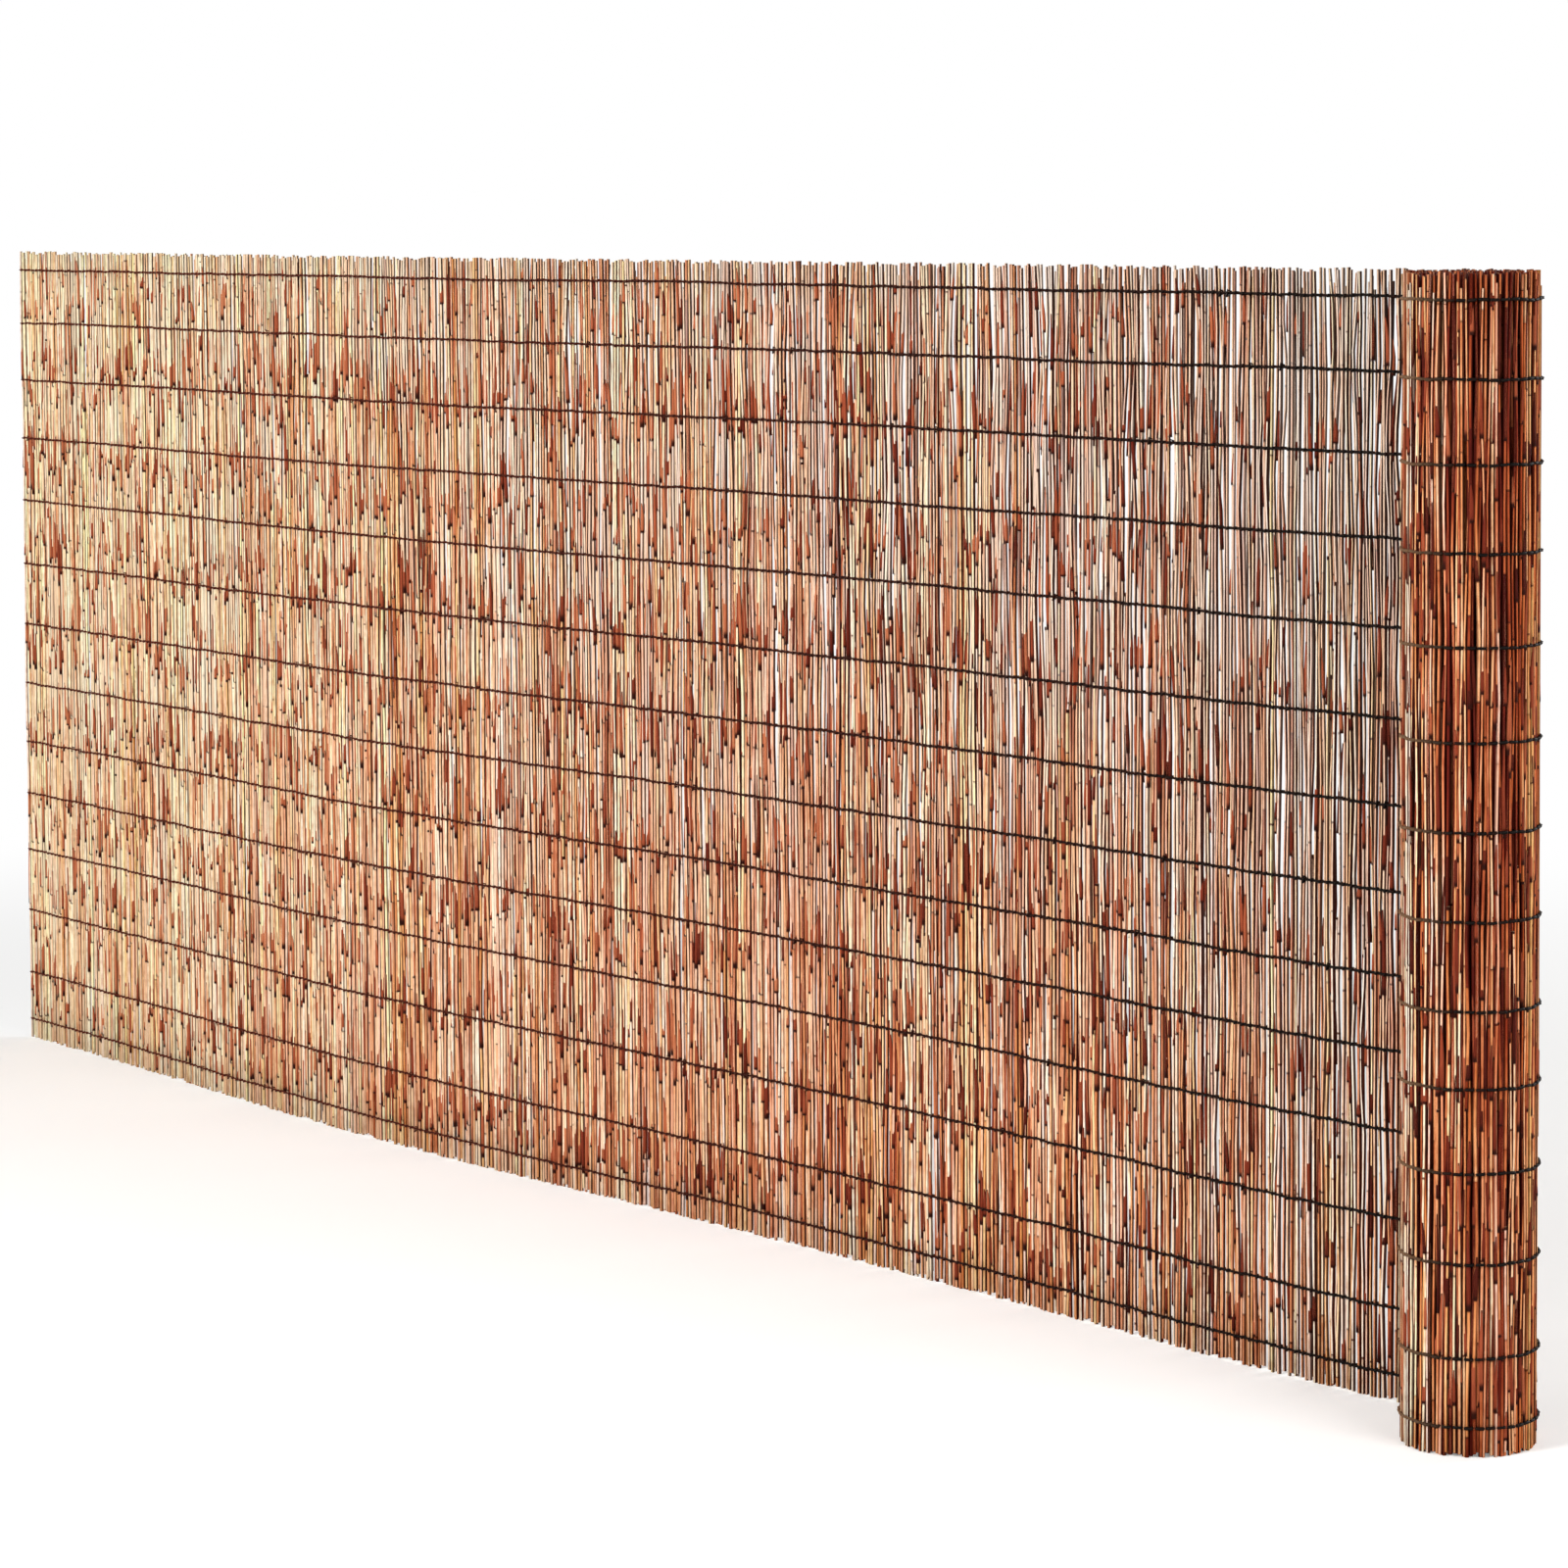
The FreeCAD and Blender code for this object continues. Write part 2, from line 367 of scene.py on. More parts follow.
    def finished(self, shape: Any, material: Any) -> Socket:
        """Returns a shape with its finish on."""
        sockets = {"Geometry": shape, "Material": material}
        return self.put("GeometryNodeSetMaterial", sockets).outputs[0]

    def resampled(self, length: Any) -> Socket:
        """Makes the line a curve with points at an even spacing.

        Args:
            length: Distance from point to point.

        Returns:
            The curve's socket.
        """
        curve = self.put("GeometryNodeMeshToCurve", {"Mesh": self.line}).outputs[0]
        node = self.put("GeometryNodeResampleCurve", mode="LENGTH")
        self.feed(node, "Curve", curve)
        self.feed(node, "Length", length)
        return node.outputs[0]

    def to_back(self, heading: Any) -> Socket:
        """Returns the level unit vector square to a heading, towards the mat's back."""
        return self.vector("NORMALIZE", self.vector("CROSS_PRODUCT", (0.0, 0.0, 1.0), heading))

    def give(self, shape: Any) -> None:
        """Makes a shape the tree's result."""
        outlet = self.tree.nodes.new("NodeGroupOutput")
        self.tree.links.new(shape, outlet.inputs[0])

    def grow(self, name: str, line: Sequence[Pair], sizes: Mapping[str, Any]) -> bpy.types.Object:
        """Runs the tree along a line and returns the result as an object with a plain mesh.

        Args:
            name: Name of the piece.
            line: Points of the line, seen from above.
            sizes: Values for the tree's inputs.

        Returns:
            The new piece.
        """
        guide = bpy.data.meshes.new(f"{name}_line")
        edges = [(number, number + 1) for number in range(len(line) - 1)]
        guide.from_pydata([(x, y, 0.0) for x, y in line], edges, [])
        maker = added(f"{name}_maker", guide)
        modifier = maker.modifiers.new("grow", "NODES")
        modifier.node_group = self.tree
        for title, value in sizes.items():
            modifier[self.identifiers[title]] = value
        shown = maker.evaluated_get(bpy.context.evaluated_depsgraph_get())
        mesh = bpy.data.meshes.new_from_object(shown)
        maker.modifiers.remove(modifier)
        bpy.data.objects.remove(maker)
        bpy.data.meshes.remove(guide)
        mesh.name = name
        return added(name, mesh)


# Finishes


class Finish(NodeSheet):
    """A material under construction, with one principled shader."""

    def __init__(self, name: str) -> None:
        """Starts a material of that name."""
        self.material = bpy.data.materials.new(name)
        self.material.use_nodes = True
        super().__init__(self.material.node_tree)
        self.shader = self.tree.nodes["Principled BSDF"]

    def read(self, name: str, part: str = "Fac") -> Socket:
        """Returns the value that a piece keeps under a name."""
        return self.put("ShaderNodeAttribute", attribute_name=name).outputs[part]

    def place(self) -> Socket:
        """Returns the place on the object."""
        return self.put("ShaderNodeTexCoord").outputs["Object"]

    def white(self, x: Any, y: Any) -> Sequence[Socket]:
        """Returns three random numbers that are fixed for a pair of numbers."""
        node = self.put(
            "ShaderNodeTexWhiteNoise", {"Vector": self.join(x, y)}, noise_dimensions="2D"
        )
        return self.put("ShaderNodeSeparateColor", {0: node.outputs["Color"]}).outputs

    def speckle(self, scale: float, detail: float) -> Socket:
        """Returns noise at the place on the object."""
        sockets = {"Vector": self.place(), "Scale": scale, "Detail": detail}
        return self.put("ShaderNodeTexNoise", sockets).outputs[0]

    def _ramp(self, factor: Any, stops: Sequence[tuple[float, Sequence[float]]]) -> Socket:
        """Adds a colour ramp.

        Args:
            factor: Place on the ramp, from 0 to 1.
            stops: A place and a linear colour for each stop.

        Returns:
            The colour at that place.
        """
        node = self.put("ShaderNodeValToRGB", {0: factor})
        ramp = node.color_ramp
        while len(ramp.elements) < len(stops):
            ramp.elements.new(0.5)
        for element, (place, colour) in zip(ramp.elements, stops):
            element.position = place
            element.color = colour
        return node.outputs[0]

    def palette(self, factor: Any, stops: Palette) -> Socket:
        """Returns the colour at a place between stops, each a place and a colour."""
        return self._ramp(factor, [(place, linear(colour)) for place, colour in stops])

    def level(self, factor: Any, stops: Sequence[Pair]) -> Socket:
        """Returns the number at a place between stops, each a place and a number within a half."""
        greys = [(place, (number + 0.5,) * 3 + (1.0,)) for place, number in stops]
        return self.less(self._ramp(factor, greys), 0.5)

    def blend(self, factor: Any, low: Any, high: Any, way: str = "MIX") -> Socket:
        """Mixes two colours and returns the result."""
        sockets = {0: factor, 6: low, 7: high}
        return self.put("ShaderNodeMix", sockets, data_type="RGBA", blend_type=way).outputs[2]

    def tinted(self, colour: Socket, strength: float, factor: Any, stops: Palette) -> Socket:
        """Multiplies a colour by the one at a place between stops, to a given strength."""
        return self.blend(strength, colour, self.palette(factor, stops), "MULTIPLY")

    def bump(self, height: Any, depth: float) -> None:
        """Raises the surface by a height from 0 to 1 times a depth in metres."""
        sockets = {"Height": height, "Distance": depth, "Strength": 1.0}
        self.feed(self.shader, "Normal", self.put("ShaderNodeBump", sockets).outputs[0])


class StemSheet(Finish):
    """A finish of stems under construction, with what it reads from them."""

    def __init__(self, name: str) -> None:
        """Starts the material and reads each stem's number, place along the mat and joints."""
        super().__init__(name)
        self.stem = self.read("reed_id")
        self.along = self.read("reed_share")
        self.spacing = self.read("knot_spacing")
        self.x, self.y, self.z = self.split(self.place())
        step = self.over(self.less(self.z, self.read("knot_foot")), self.spacing)
        self.joint = self.math("FLOOR", step)
        self.beyond = self.math("FRACT", step)
        self.unit = self.read("reed_unit", "Vector")
        self.in_roll = self.more(self.along, ROLL_START)


@dataclass(frozen=True)
class ReedFinish:
    """Dried reed: pale straw to red-brown from stem to stem, with dark knots and long fibres."""

    name: str = "dried_reed"
    tones: Palette = (
        (0.00, (248, 244, 230)), (0.18, (244, 228, 202)), (0.36, (238, 210, 182)),
        (0.52, (230, 186, 150)), (0.66, (216, 154, 108)), (0.80, (184, 104, 62)),
        (0.91, (130, 60, 32)), (1.00, (88, 36, 18)),
    )
    # The same for the roll and the mat's lower part, where the stems are warmer in tone
    warm_tones: Palette = (
        (0.00, (250, 236, 218)), (0.16, (247, 212, 180)), (0.34, (236, 176, 134)),
        (0.52, (218, 142, 94)), (0.68, (192, 106, 62)), (0.82, (142, 58, 30)),
        (0.92, (106, 28, 13)), (1.00, (72, 12, 4)),
    )
    # Heights between which the lower part ends, and shares of the mat over which it warms
    low_part: Pair = (0.10, 1.35)
    warming: Pair = (-0.20, 0.56)
    roll_edge: Pair = (ROLL_START, ROLL_START + 0.006)

    # Share along the mat, and how much darker the stems are there
    drift: tuple[Pair, ...] = (
        (0.00, -0.34), (0.35, -0.01), (0.58, 0.02), (0.70, -0.12), (0.738, -0.48),
        (0.757, -0.36), (0.767, 0.20), (0.786, -0.42), (0.82, 0.0), (1.00, 0.05),
    )
    stem_share: float = 0.62
    stem_dice: float = 3.7
    joint_shade: float = 0.10
    crowd_scale: Pair = (150.0, 5.5)
    crowd_offset: float = 3.7
    patchiness: Pair = (0.36, 0.80)
    foot_lightness: Pair = (0.0, 0.35)
    roll_foot_lightness: float = 0.08
    inside_shade: Pair = (0.14, 0.34)
    hues: Palette = (
        (0.00, (252, 252, 204)), (0.40, (255, 255, 255)), (0.62, (255, 255, 255)),
        (1.00, (248, 222, 228)),
    )
    hue_strength: float = 0.85

    fibre_scale: Pair = (1900.0, 14.0)
    fibre_tones: Palette = (
        (0.25, (150, 128, 112)), (0.50, (255, 255, 255)), (0.75, (255, 255, 255)),
    )
    fibre_strength: float = 0.55
    blotch_scale: Pair = (5.3, 38.0)
    blotch_tones: Palette = (
        (0.30, (196, 150, 116)), (0.52, (255, 255, 255)), (0.75, (255, 252, 244)),
    )
    blotch_strength: float = 0.5
    knot: Colour = (70, 30, 16)
    knot_height: float = 0.0022
    knot_strength: Pair = (0.25, 1.0)

    faded: Colour = (220, 205, 192)
    patch_scale: Pair = (64.0, 2.4)
    patch_edge: Pair = (0.46, 0.60)
    patch_fading: float = 0.75
    end_fading: float = 0.40
    end_reach: Pair = (0.25, 0.70)
    most_faded: float = 0.9
    # Painted shade: a deeper orange on the roll's side away from the key light.
    glow: Colour = (255, 208, 156)
    shaded_side_share: Pair = (0.748, 0.768)
    start_tint: Colour = (253, 251, 234)
    start_reach: float = 0.45

    # Painted shade: the stems' flanks, where they lie side by side, are darkened for the shade
    # between them.
    flank: Colour = (46, 13, 3)
    warm_flank: Colour = (58, 8, 2)
    flank_start: Pair = (0.73, 0.27)
    flank_width: float = 0.12
    flank_strength: Pair = (0.64, 1.0)
    flank_dice: float = 9.3
    foot_flank: float = 0.08
    # Near the roll the painted shade on the flanks is wider and darker.
    end_flank: float = 0.16
    end_flank_shade: Colour = (36, 6, 2)
    near_roll: Pair = (0.56, 0.70)

    tip: Colour = (44, 15, 8)
    tip_height: float = 0.0045
    middle_height: float = 0.75
    tip_reach: float = 0.71
    pith: Colour = (228, 192, 146)
    hollow: Colour = (48, 26, 14)
    bore_edge: Pair = (0.38, 0.52)
    roughness: float = 0.50
    fibre_roughness: float = 0.18
    fibre_relief: float = 0.25
    relief: float = 0.0005

    def make(self) -> Material:
        """Builds the material and returns it."""
        f = StemSheet(self.name)
        low_down = f.ramp_value(f.z, *self.low_part, 1.0, 0.0)
        warm = f.math(
            "MAXIMUM", f.times(f.ramp_value(f.along, *self.warming), low_down),
            f.ramp_value(f.along, *self.roll_edge),
        )
        whole = f.white(f.stem, self.stem_dice)
        part = f.white(f.stem, f.joint)
        tone = self._tone(f, f.mix(self.stem_share, part[0], whole[0]), low_down)
        colour = f.blend(warm, f.palette(tone, self.tones), f.palette(tone, self.warm_tones))
        colour = f.tinted(colour, self.hue_strength, whole[2], self.hues)

        fibre = f.grain(f.total(f.x, f.y), f.z, self.fibre_scale, 2.0, 0.6)
        colour = f.tinted(colour, self.fibre_strength, fibre, self.fibre_tones)
        blotch = f.grain(f.stem, f.z, self.blotch_scale, 2.0)
        colour = f.tinted(colour, self.blotch_strength, blotch, self.blotch_tones)
        away = f.times(f.math("MINIMUM", f.beyond, f.less(1.0, f.beyond)), f.spacing)
        ring = f.ramp_value(away, self.knot_height * 0.4, self.knot_height, 1.0, 0.0)
        ring_depth = f.times(ring, f.ramp_value(part[1], 0.15, 0.9, *self.knot_strength))
        colour = f.blend(ring_depth, colour, linear(self.knot))

        colour = self._weathered(f, colour, f.times(whole[1], f.less(1.0, warm)))
        # Painted shade on the flanks between the stems.
        colour = self._flank_shaded(f, colour, warm, low_down)
        f.feed(f.shader, "Base Color", self._ended(f, colour))
        f.feed(f.shader, "Roughness", f.total(self.roughness, f.times(fibre, self.fibre_roughness)))
        f.shader.inputs["Specular IOR Level"].default_value = GLOSS
        f.bump(f.total(f.times(fibre, self.fibre_relief), ring), self.relief)
        return f.material

    def _tone(self, f: StemSheet, tone: Socket, low_down: Socket) -> Socket:
        """Works out how dark a stem is from its dice and its place on the mat.

        Args:
            f: The stems' finish under construction.
            tone: The throw of the stem's dice.
            low_down: One at the mat's foot, zero in its upper part.

        Returns:
            The tone, from 0 for pale to 1 for dark.
        """
        tone = f.total(tone, f.level(f.along, self.drift))
        # A stem darkens a little towards the top of each joint.
        tone = f.total(tone, f.times(f.less(f.beyond, 0.5), self.joint_shade))
        crowd = f.noise(f.join(
            f.times(f.along, self.crowd_scale[0]),
            f.total(f.times(f.z, self.crowd_scale[1]), self.crowd_offset),
        ), 1.0)
        tone = f.total(tone, f.times(f.less(crowd, 0.5), f.mix(f.in_roll, *self.patchiness)))
        along_lightness = f.mix(f.along, *self.foot_lightness)
        lightness = f.mix(f.in_roll, along_lightness, self.roll_foot_lightness)
        tone = f.less(tone, f.times(low_down, lightness))
        # Painted shade: the layer that lies behind, the inner one on the roll and the back one on the
        # run, is darker.
        shaded_layer = f.math("ABSOLUTE", f.less(f.read("reed_layer"), f.in_roll))
        return f.total(tone, f.times(shaded_layer, f.mix(f.in_roll, *self.inside_shade)))

    def _weathered(self, f: StemSheet, colour: Socket, exposed: Socket) -> Socket:
        """Fades stretches of the mat and tints its two ends.

        Args:
            f: The stems' finish under construction.
            colour: Colour of the stems before.
            exposed: How much a stem can fade, from 0 to 1.

        Returns:
            The new colour.
        """
        # Stretches of the mat have bleached to a dull grey.
        patch = f.grain(f.along, f.z, self.patch_scale, 2.0, 0.6)
        bleached = f.total(
            f.ramp_value(patch, *self.patch_edge, 0.0, self.patch_fading),
            f.ramp_value(f.along, *self.end_reach, 0.0, self.end_fading),
        )
        bleached = f.times(f.math("MINIMUM", bleached, self.most_faded), exposed)
        colour = f.blend(bleached, colour, linear(self.faded))
        # Painted shade: the roll's side away from the key light is a deeper orange. The mat's free
        # end is a yellower straw.
        glow = f.times(f.ramp_value(f.along, *self.shaded_side_share, 1.0, 0.0), f.in_roll)
        colour = f.blend(glow, colour, linear(self.glow), "MULTIPLY")
        start = f.ramp_value(f.along, 0.0, self.start_reach, 1.0, 0.0)
        return f.blend(start, colour, linear(self.start_tint), "MULTIPLY")

    def _flank_shaded(self, f: StemSheet, colour: Socket, warm: Socket, low_down: Socket) -> Socket:
        """Paints shade on the stems' flanks, where they lie side by side.

        Args:
            f: The stems' finish under construction.
            colour: Colour of the stems before.
            warm: One where the stems are warm in tone, zero elsewhere.
            low_down: One at the mat's foot, zero in its upper part.

        Returns:
            The new colour.
        """
        # Near the roll the painted shade is wider and darker.
        near_roll = f.times(
            f.ramp_value(f.along, *self.near_roll), f.math("LESS_THAN", f.along, ROLL_START)
        )
        start = f.total(f.mix(f.along, *self.flank_start), f.times(low_down, self.foot_flank))
        start = f.less(start, f.times(near_roll, self.end_flank))
        # Painted shade: dark towards the flanks that face the next stems.
        sideways = f.math("ABSOLUTE", f.split(f.unit)[0])
        flank = f.ramp_value(sideways, start, f.total(start, self.flank_width))
        dice = f.white(f.stem, self.flank_dice)[0]
        strength = f.ramp_value(dice, 0.1, 0.7, *self.flank_strength)
        flank = f.times(flank, f.math("MAXIMUM", strength, near_roll))
        dark = f.blend(near_roll, linear(self.flank), linear(self.end_flank_shade))
        return f.blend(flank, colour, f.blend(warm, dark, linear(self.warm_flank)))

    def _ended(self, f: StemSheet, colour: Socket) -> Socket:
        """Finishes the ends: dark part of the way up, and on each cut pale pith round a bore painted
        dark for the shade in it.

        Args:
            f: The stems' finish under construction.
            colour: Colour of the stems before.

        Returns:
            The new colour.
        """
        reach = f.less(0.5, f.over(self.tip_height, f.read("reed_length")))
        tip = f.more(f.math("ABSOLUTE", f.split(f.unit)[2]), reach)
        off_middle = f.math("ABSOLUTE", f.less(f.z, self.middle_height))
        tip = f.times(tip, f.math("LESS_THAN", off_middle, self.tip_reach))
        colour = f.blend(tip, colour, linear(self.tip))
        level_part = f.vector("MULTIPLY", f.unit, (1.0, 1.0, 0.0))
        radial = f.put("ShaderNodeVectorMath", {0: level_part}, operation="LENGTH").outputs["Value"]
        # Painted shade: the bore is not cut into the cap; its middle is painted dark.
        bore = f.ramp_value(radial, *self.bore_edge, 1.0, 0.0)
        cut = f.blend(bore, linear(self.pith), linear(self.hollow))
        return f.blend(f.math("ABSOLUTE", f.read("reed_end")), colour, cut)


@dataclass(frozen=True)
class SheathFinish:
    """Leaf sheath left on a stem: papery, red-brown, torn at its upper end."""

    name: str = "leaf_sheath"
    tones: Palette = (
        (0.00, (206, 132, 92)), (0.25, (182, 100, 66)), (0.50, (150, 68, 43)),
        (0.75, (112, 40, 25)), (1.00, (68, 20, 12)),
    )
    dice: float = 8.1
    start_share: float = 0.64
    roll_shade: Pair = (-0.04, 0.30)
    vein_scale: Pair = (2600.0, 20.0)
    vein_tones: Palette = ((0.30, (166, 118, 96)), (0.52, (255, 255, 255)), (0.80, (255, 244, 226)))
    vein_strength: float = 0.7
    edge: Colour = (50, 18, 11)
    foot_edge: Pair = (-0.46, -0.38)
    lip_edge: Pair = (0.44, 0.50)
    # Painted shade on the sheath's flanks, where it lies against the next stems.
    flank: Colour = (48, 15, 9)
    flank_strength: float = 0.55
    roughness: Pair = (0.66, 0.86)
    relief: float = 0.0004

    def make(self) -> Material:
        """Builds the material and returns it."""
        f = Finish(self.name)
        x, y, z = f.split(f.place())
        across, _, level = f.split(f.read("reed_unit", "Vector"))
        along = f.read("reed_share")
        dice = f.white(f.read("sheath_id"), self.dice)
        tone = f.times(dice[0], f.mix(along, self.start_share, 1.0))
        tone = f.total(tone, f.ramp_value(along, 0.0, 1.0, *self.roll_shade))
        colour = f.palette(tone, self.tones)
        vein = f.grain(f.total(x, y), z, self.vein_scale, 2.0, 0.6)
        colour = f.tinted(colour, self.vein_strength, vein, self.vein_tones)
        # Painted shade towards the flanks.
        side = f.ramp_value(f.math("ABSOLUTE", across), 0.6, 1.0, 0.0, self.flank_strength)
        colour = f.blend(side, colour, linear(self.flank))
        foot = f.ramp_value(level, *self.foot_edge, 1.0, 0.0)
        lip = f.ramp_value(level, *self.lip_edge, 0.0, 0.7)
        colour = f.blend(f.math("MAXIMUM", foot, lip), colour, linear(self.edge))
        f.feed(f.shader, "Base Color", colour)
        f.feed(f.shader, "Roughness", f.mix(vein, *self.roughness))
        f.shader.inputs["Specular IOR Level"].default_value = GLOSS
        f.bump(vein, self.relief)
        return f.material


@dataclass(frozen=True)
class WireFinish:
    """Dark annealed wire with a dull skin and a little rust."""

    name: str
    skin: Colour = (13, 8, 6)
    rust: Colour = (34, 15, 9)
    rust_scale: float = 90.0
    worn: Colour = (84, 33, 21)
    worn_reach: Pair = (-2.0, 1.7)
    rubbed: Colour = (126, 94, 68)
    rubbed_reach: Pair = (1.76, 1.87)
    rubbed_strength: float = 0.75
    roughness: Pair = (0.50, 0.75)
    grain_scale: float = 1400.0
    relief: float = 0.0001

    def make(self) -> Material:
        """Builds the material and returns it."""
        f = Finish(self.name)
        patch = f.speckle(self.rust_scale, 4.0)
        share = f.ramp_value(patch, 0.48, 0.68, 0.0, 0.85)
        colour = f.blend(share, linear(self.skin), linear(self.rust))
        # Towards the mat's free end the skin has worn to brown.
        x, y, _ = f.split(f.place())
        colour = f.blend(f.ramp_value(x, *self.worn_reach, 1.0, 0.0), colour, linear(self.worn))
        # On the roll's front, next to the run, it is rubbed bright.
        rubbed = f.ramp_value(x, *self.rubbed_reach, self.rubbed_strength, 0.0)
        rubbed = f.times(rubbed, f.math("LESS_THAN", y, 0.0))
        f.feed(f.shader, "Base Color", f.blend(rubbed, colour, linear(self.rubbed)))
        f.feed(f.shader, "Roughness", f.mix(share, *self.roughness))
        f.shader.inputs["Specular IOR Level"].default_value = GLOSS
        f.bump(f.speckle(self.grain_scale, 2.0), self.relief)
        return f.material


@dataclass(frozen=True)
class FloorFinish:
    """Pale matt floor that fades to plain white away from the object."""

    name: str = "pale_floor"
    colour: Colour = (246, 246, 245)
    grain_colour: Colour = (242, 242, 241)
    grain_scale: float = 220.0
    clear_radius: float = 1.9
    fade_radius: float = 4.6
    lift: float = 0.24

    def make(self) -> Material:
        """Builds the material and returns it."""
        f = Finish(self.name)
        grain = f.ramp_value(f.speckle(self.grain_scale, 3.0), 0.3, 0.7)
        f.feed(
            f.shader, "Base Color", f.blend(grain, linear(self.colour), linear(self.grain_colour))
        )
        f.shader.inputs["Roughness"].default_value = 0.9
        f.shader.inputs["Specular IOR Level"].default_value = 0.1
        far = f.put("ShaderNodeVectorMath", {0: f.place()}, operation="LENGTH").outputs["Value"]
        fade = f.ramp_value(far, self.clear_radius, self.fade_radius)
        seen = f.put("ShaderNodeLightPath").outputs["Is Camera Ray"]
        white = f.put("ShaderNodeEmission", {"Color": (1, 1, 1, 1), "Strength": 1.0}).outputs[0]
        lift = f.put("ShaderNodeEmission", {"Color": (1, 1, 1, 1)})
        f.feed(lift, "Strength", f.times(seen, self.lift))
        lifted = f.put("ShaderNodeAddShader", {0: f.shader.outputs[0], 1: lift.outputs[0]})
        sockets = {0: f.times(fade, seen), 1: lifted.outputs[0], 2: white}
        outlet = next(n for n in f.tree.nodes if n.type == "OUTPUT_MATERIAL")
        f.feed(outlet, "Surface", f.put("ShaderNodeMixShader", sockets).outputs[0])
        return f.material


# The line of the mat


@dataclass
class MatLine:
    """The mat's middle line seen from above, laid into the frame by the boxes of its two nodes."""

    start_heading: float = -1.5
    bends: tuple[Pair, ...] = ((0.700, -2.5), (1.000, 6.5), (1.480, -3.5), (0.560, 8.0))
    roll_radius: float = 0.090
    core_radius: float = 0.030
    turn_pitch: float = 0.010
    half_depth: float = 0.003
    run_step: float = 0.010
    turn_step: float = 2.0
    stretches: dict[Stretch, list[Pair]] = field(default_factory=dict)

    def __post_init__(self) -> None:
        """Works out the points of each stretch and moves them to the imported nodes."""
        low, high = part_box("rolled_reed_mat")
        free_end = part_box("open_reed_mat")[0].x + self.half_depth
        run = self._run(1.0)
        roll = self._roll(run[-1])
        middle = self._middle(self._one_turn(roll))
        target = Vector(((low.x + high.x) / 2, (low.y + high.y) / 2))
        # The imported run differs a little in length, because its reeds have uneven widths.
        scale = 1 - (middle.x - (target.x - free_end)) / run[-1].x
        run = self._run(scale)
        roll = self._roll(run[-1])
        move = target - self._middle(self._one_turn(roll))
        split = len(self._one_turn(roll)) - 1
        self.stretches = {
            Stretch.RUN: self._moved(run, move),
            Stretch.OUTER_TURN: self._moved(roll[: split + 1], move),
            Stretch.INNER_TURNS: self._moved(roll[split:], move),
        }

    def _run(self, scale: float) -> list[Vector]:
        """Lays out the run from a free end at zero.

        Args:
            scale: Share by which its lengths are scaled.

        Returns:
            The run's points.
        """
        heading = self.start_heading
        points = [Vector((0.0, 0.0))]
        for length, turn in self.bends:
            count = round(length / self.run_step)
            for number in range(count):
                way = heading + turn * (number + 0.5) / count
                points.append(self._ahead(points[-1], way, length * scale / count))
            heading += turn
        return points

    def _roll(self, start: Vector) -> list[Vector]:
        """Lays out the roll's turns, wound in towards its core.

        Args:
            start: Point where the run ends.

        Returns:
            The roll's points.
        """
        heading = self.start_heading + sum(turn for _, turn in self.bends)
        radius = self.roll_radius
        points = [start.copy()]
        turned = 0.0
        while radius > self.core_radius:
            way = heading - turned - self.turn_step / 2
            points.append(self._ahead(points[-1], way, radius * math.radians(self.turn_step)))
            turned += self.turn_step
            radius -= self.turn_pitch * self.turn_step / 360
        return points

    def _one_turn(self, roll: Sequence[Vector]) -> Sequence[Vector]:
        """Returns the points of the roll's outermost turn."""
        return roll[: round(360 / self.turn_step) + 1]

    @staticmethod
    def _ahead(point: Vector, heading: float, length: float) -> Vector:
        """Returns the point that lies a length ahead of another."""
        way = math.radians(heading)
        return point + Vector((math.cos(way), math.sin(way))) * length

    @staticmethod
    def _middle(points: Sequence[Vector]) -> Vector:
        """Returns the middle of the box round some points."""
        xs, ys = [p.x for p in points], [p.y for p in points]
        return Vector(((min(xs) + max(xs)) / 2, (min(ys) + max(ys)) / 2))

    @staticmethod
    def _moved(points: Iterable[Vector], move: Vector) -> list[Pair]:
        """Returns points moved by a vector, as pairs."""
        return [tuple(point + move) for point in points]

    def length(self, stretch: Stretch) -> float:
        """Returns the length of a stretch."""
        points = self.stretches[stretch]
        return sum(math.dist(a, b) for a, b in zip(points, points[1:]))

    def bound(self) -> list[Pair]:
        """Returns the run and the outer turn as one line."""
        return self.stretches[Stretch.RUN] + self.stretches[Stretch.OUTER_TURN][1:]


# The reeds


@dataclass(frozen=True)
class ReedSizes:
    """Sizes of the reeds in one stretch of the mat, each an input of their tree."""

    height: float = 1.5
    spacing: float = 0.0070
    radius: float = 0.00285
    taper: float = 0.12
    radius_scatter: float = 0.22
    second_share: float = 0.92
    second_depth: float = 0.0004
    layer_depth: float = 0.0021
    side_scatter: float = 0.0014
    depth_scatter: float = 0.0006
    lean: float = 0.0022
    bend: float = 0.0095
    drift: float = 0.010
    tip_scatter: float = 0.0070
    second_tip_drop: float = 0.028
    short_share: float = 0.30
    second_short_share: float = 0.50
    overlap: float = 0.050
    sheath_share: float = 1.0
    shortest_sheath: float = 0.034
    sheath_spread: float = 0.105
    share_from: float = 0.0
    share_to: float = 1.0
    first: int = 0
    last: int = 0
    sides: int = 6
    rings: int = 9
    seed: int = 21


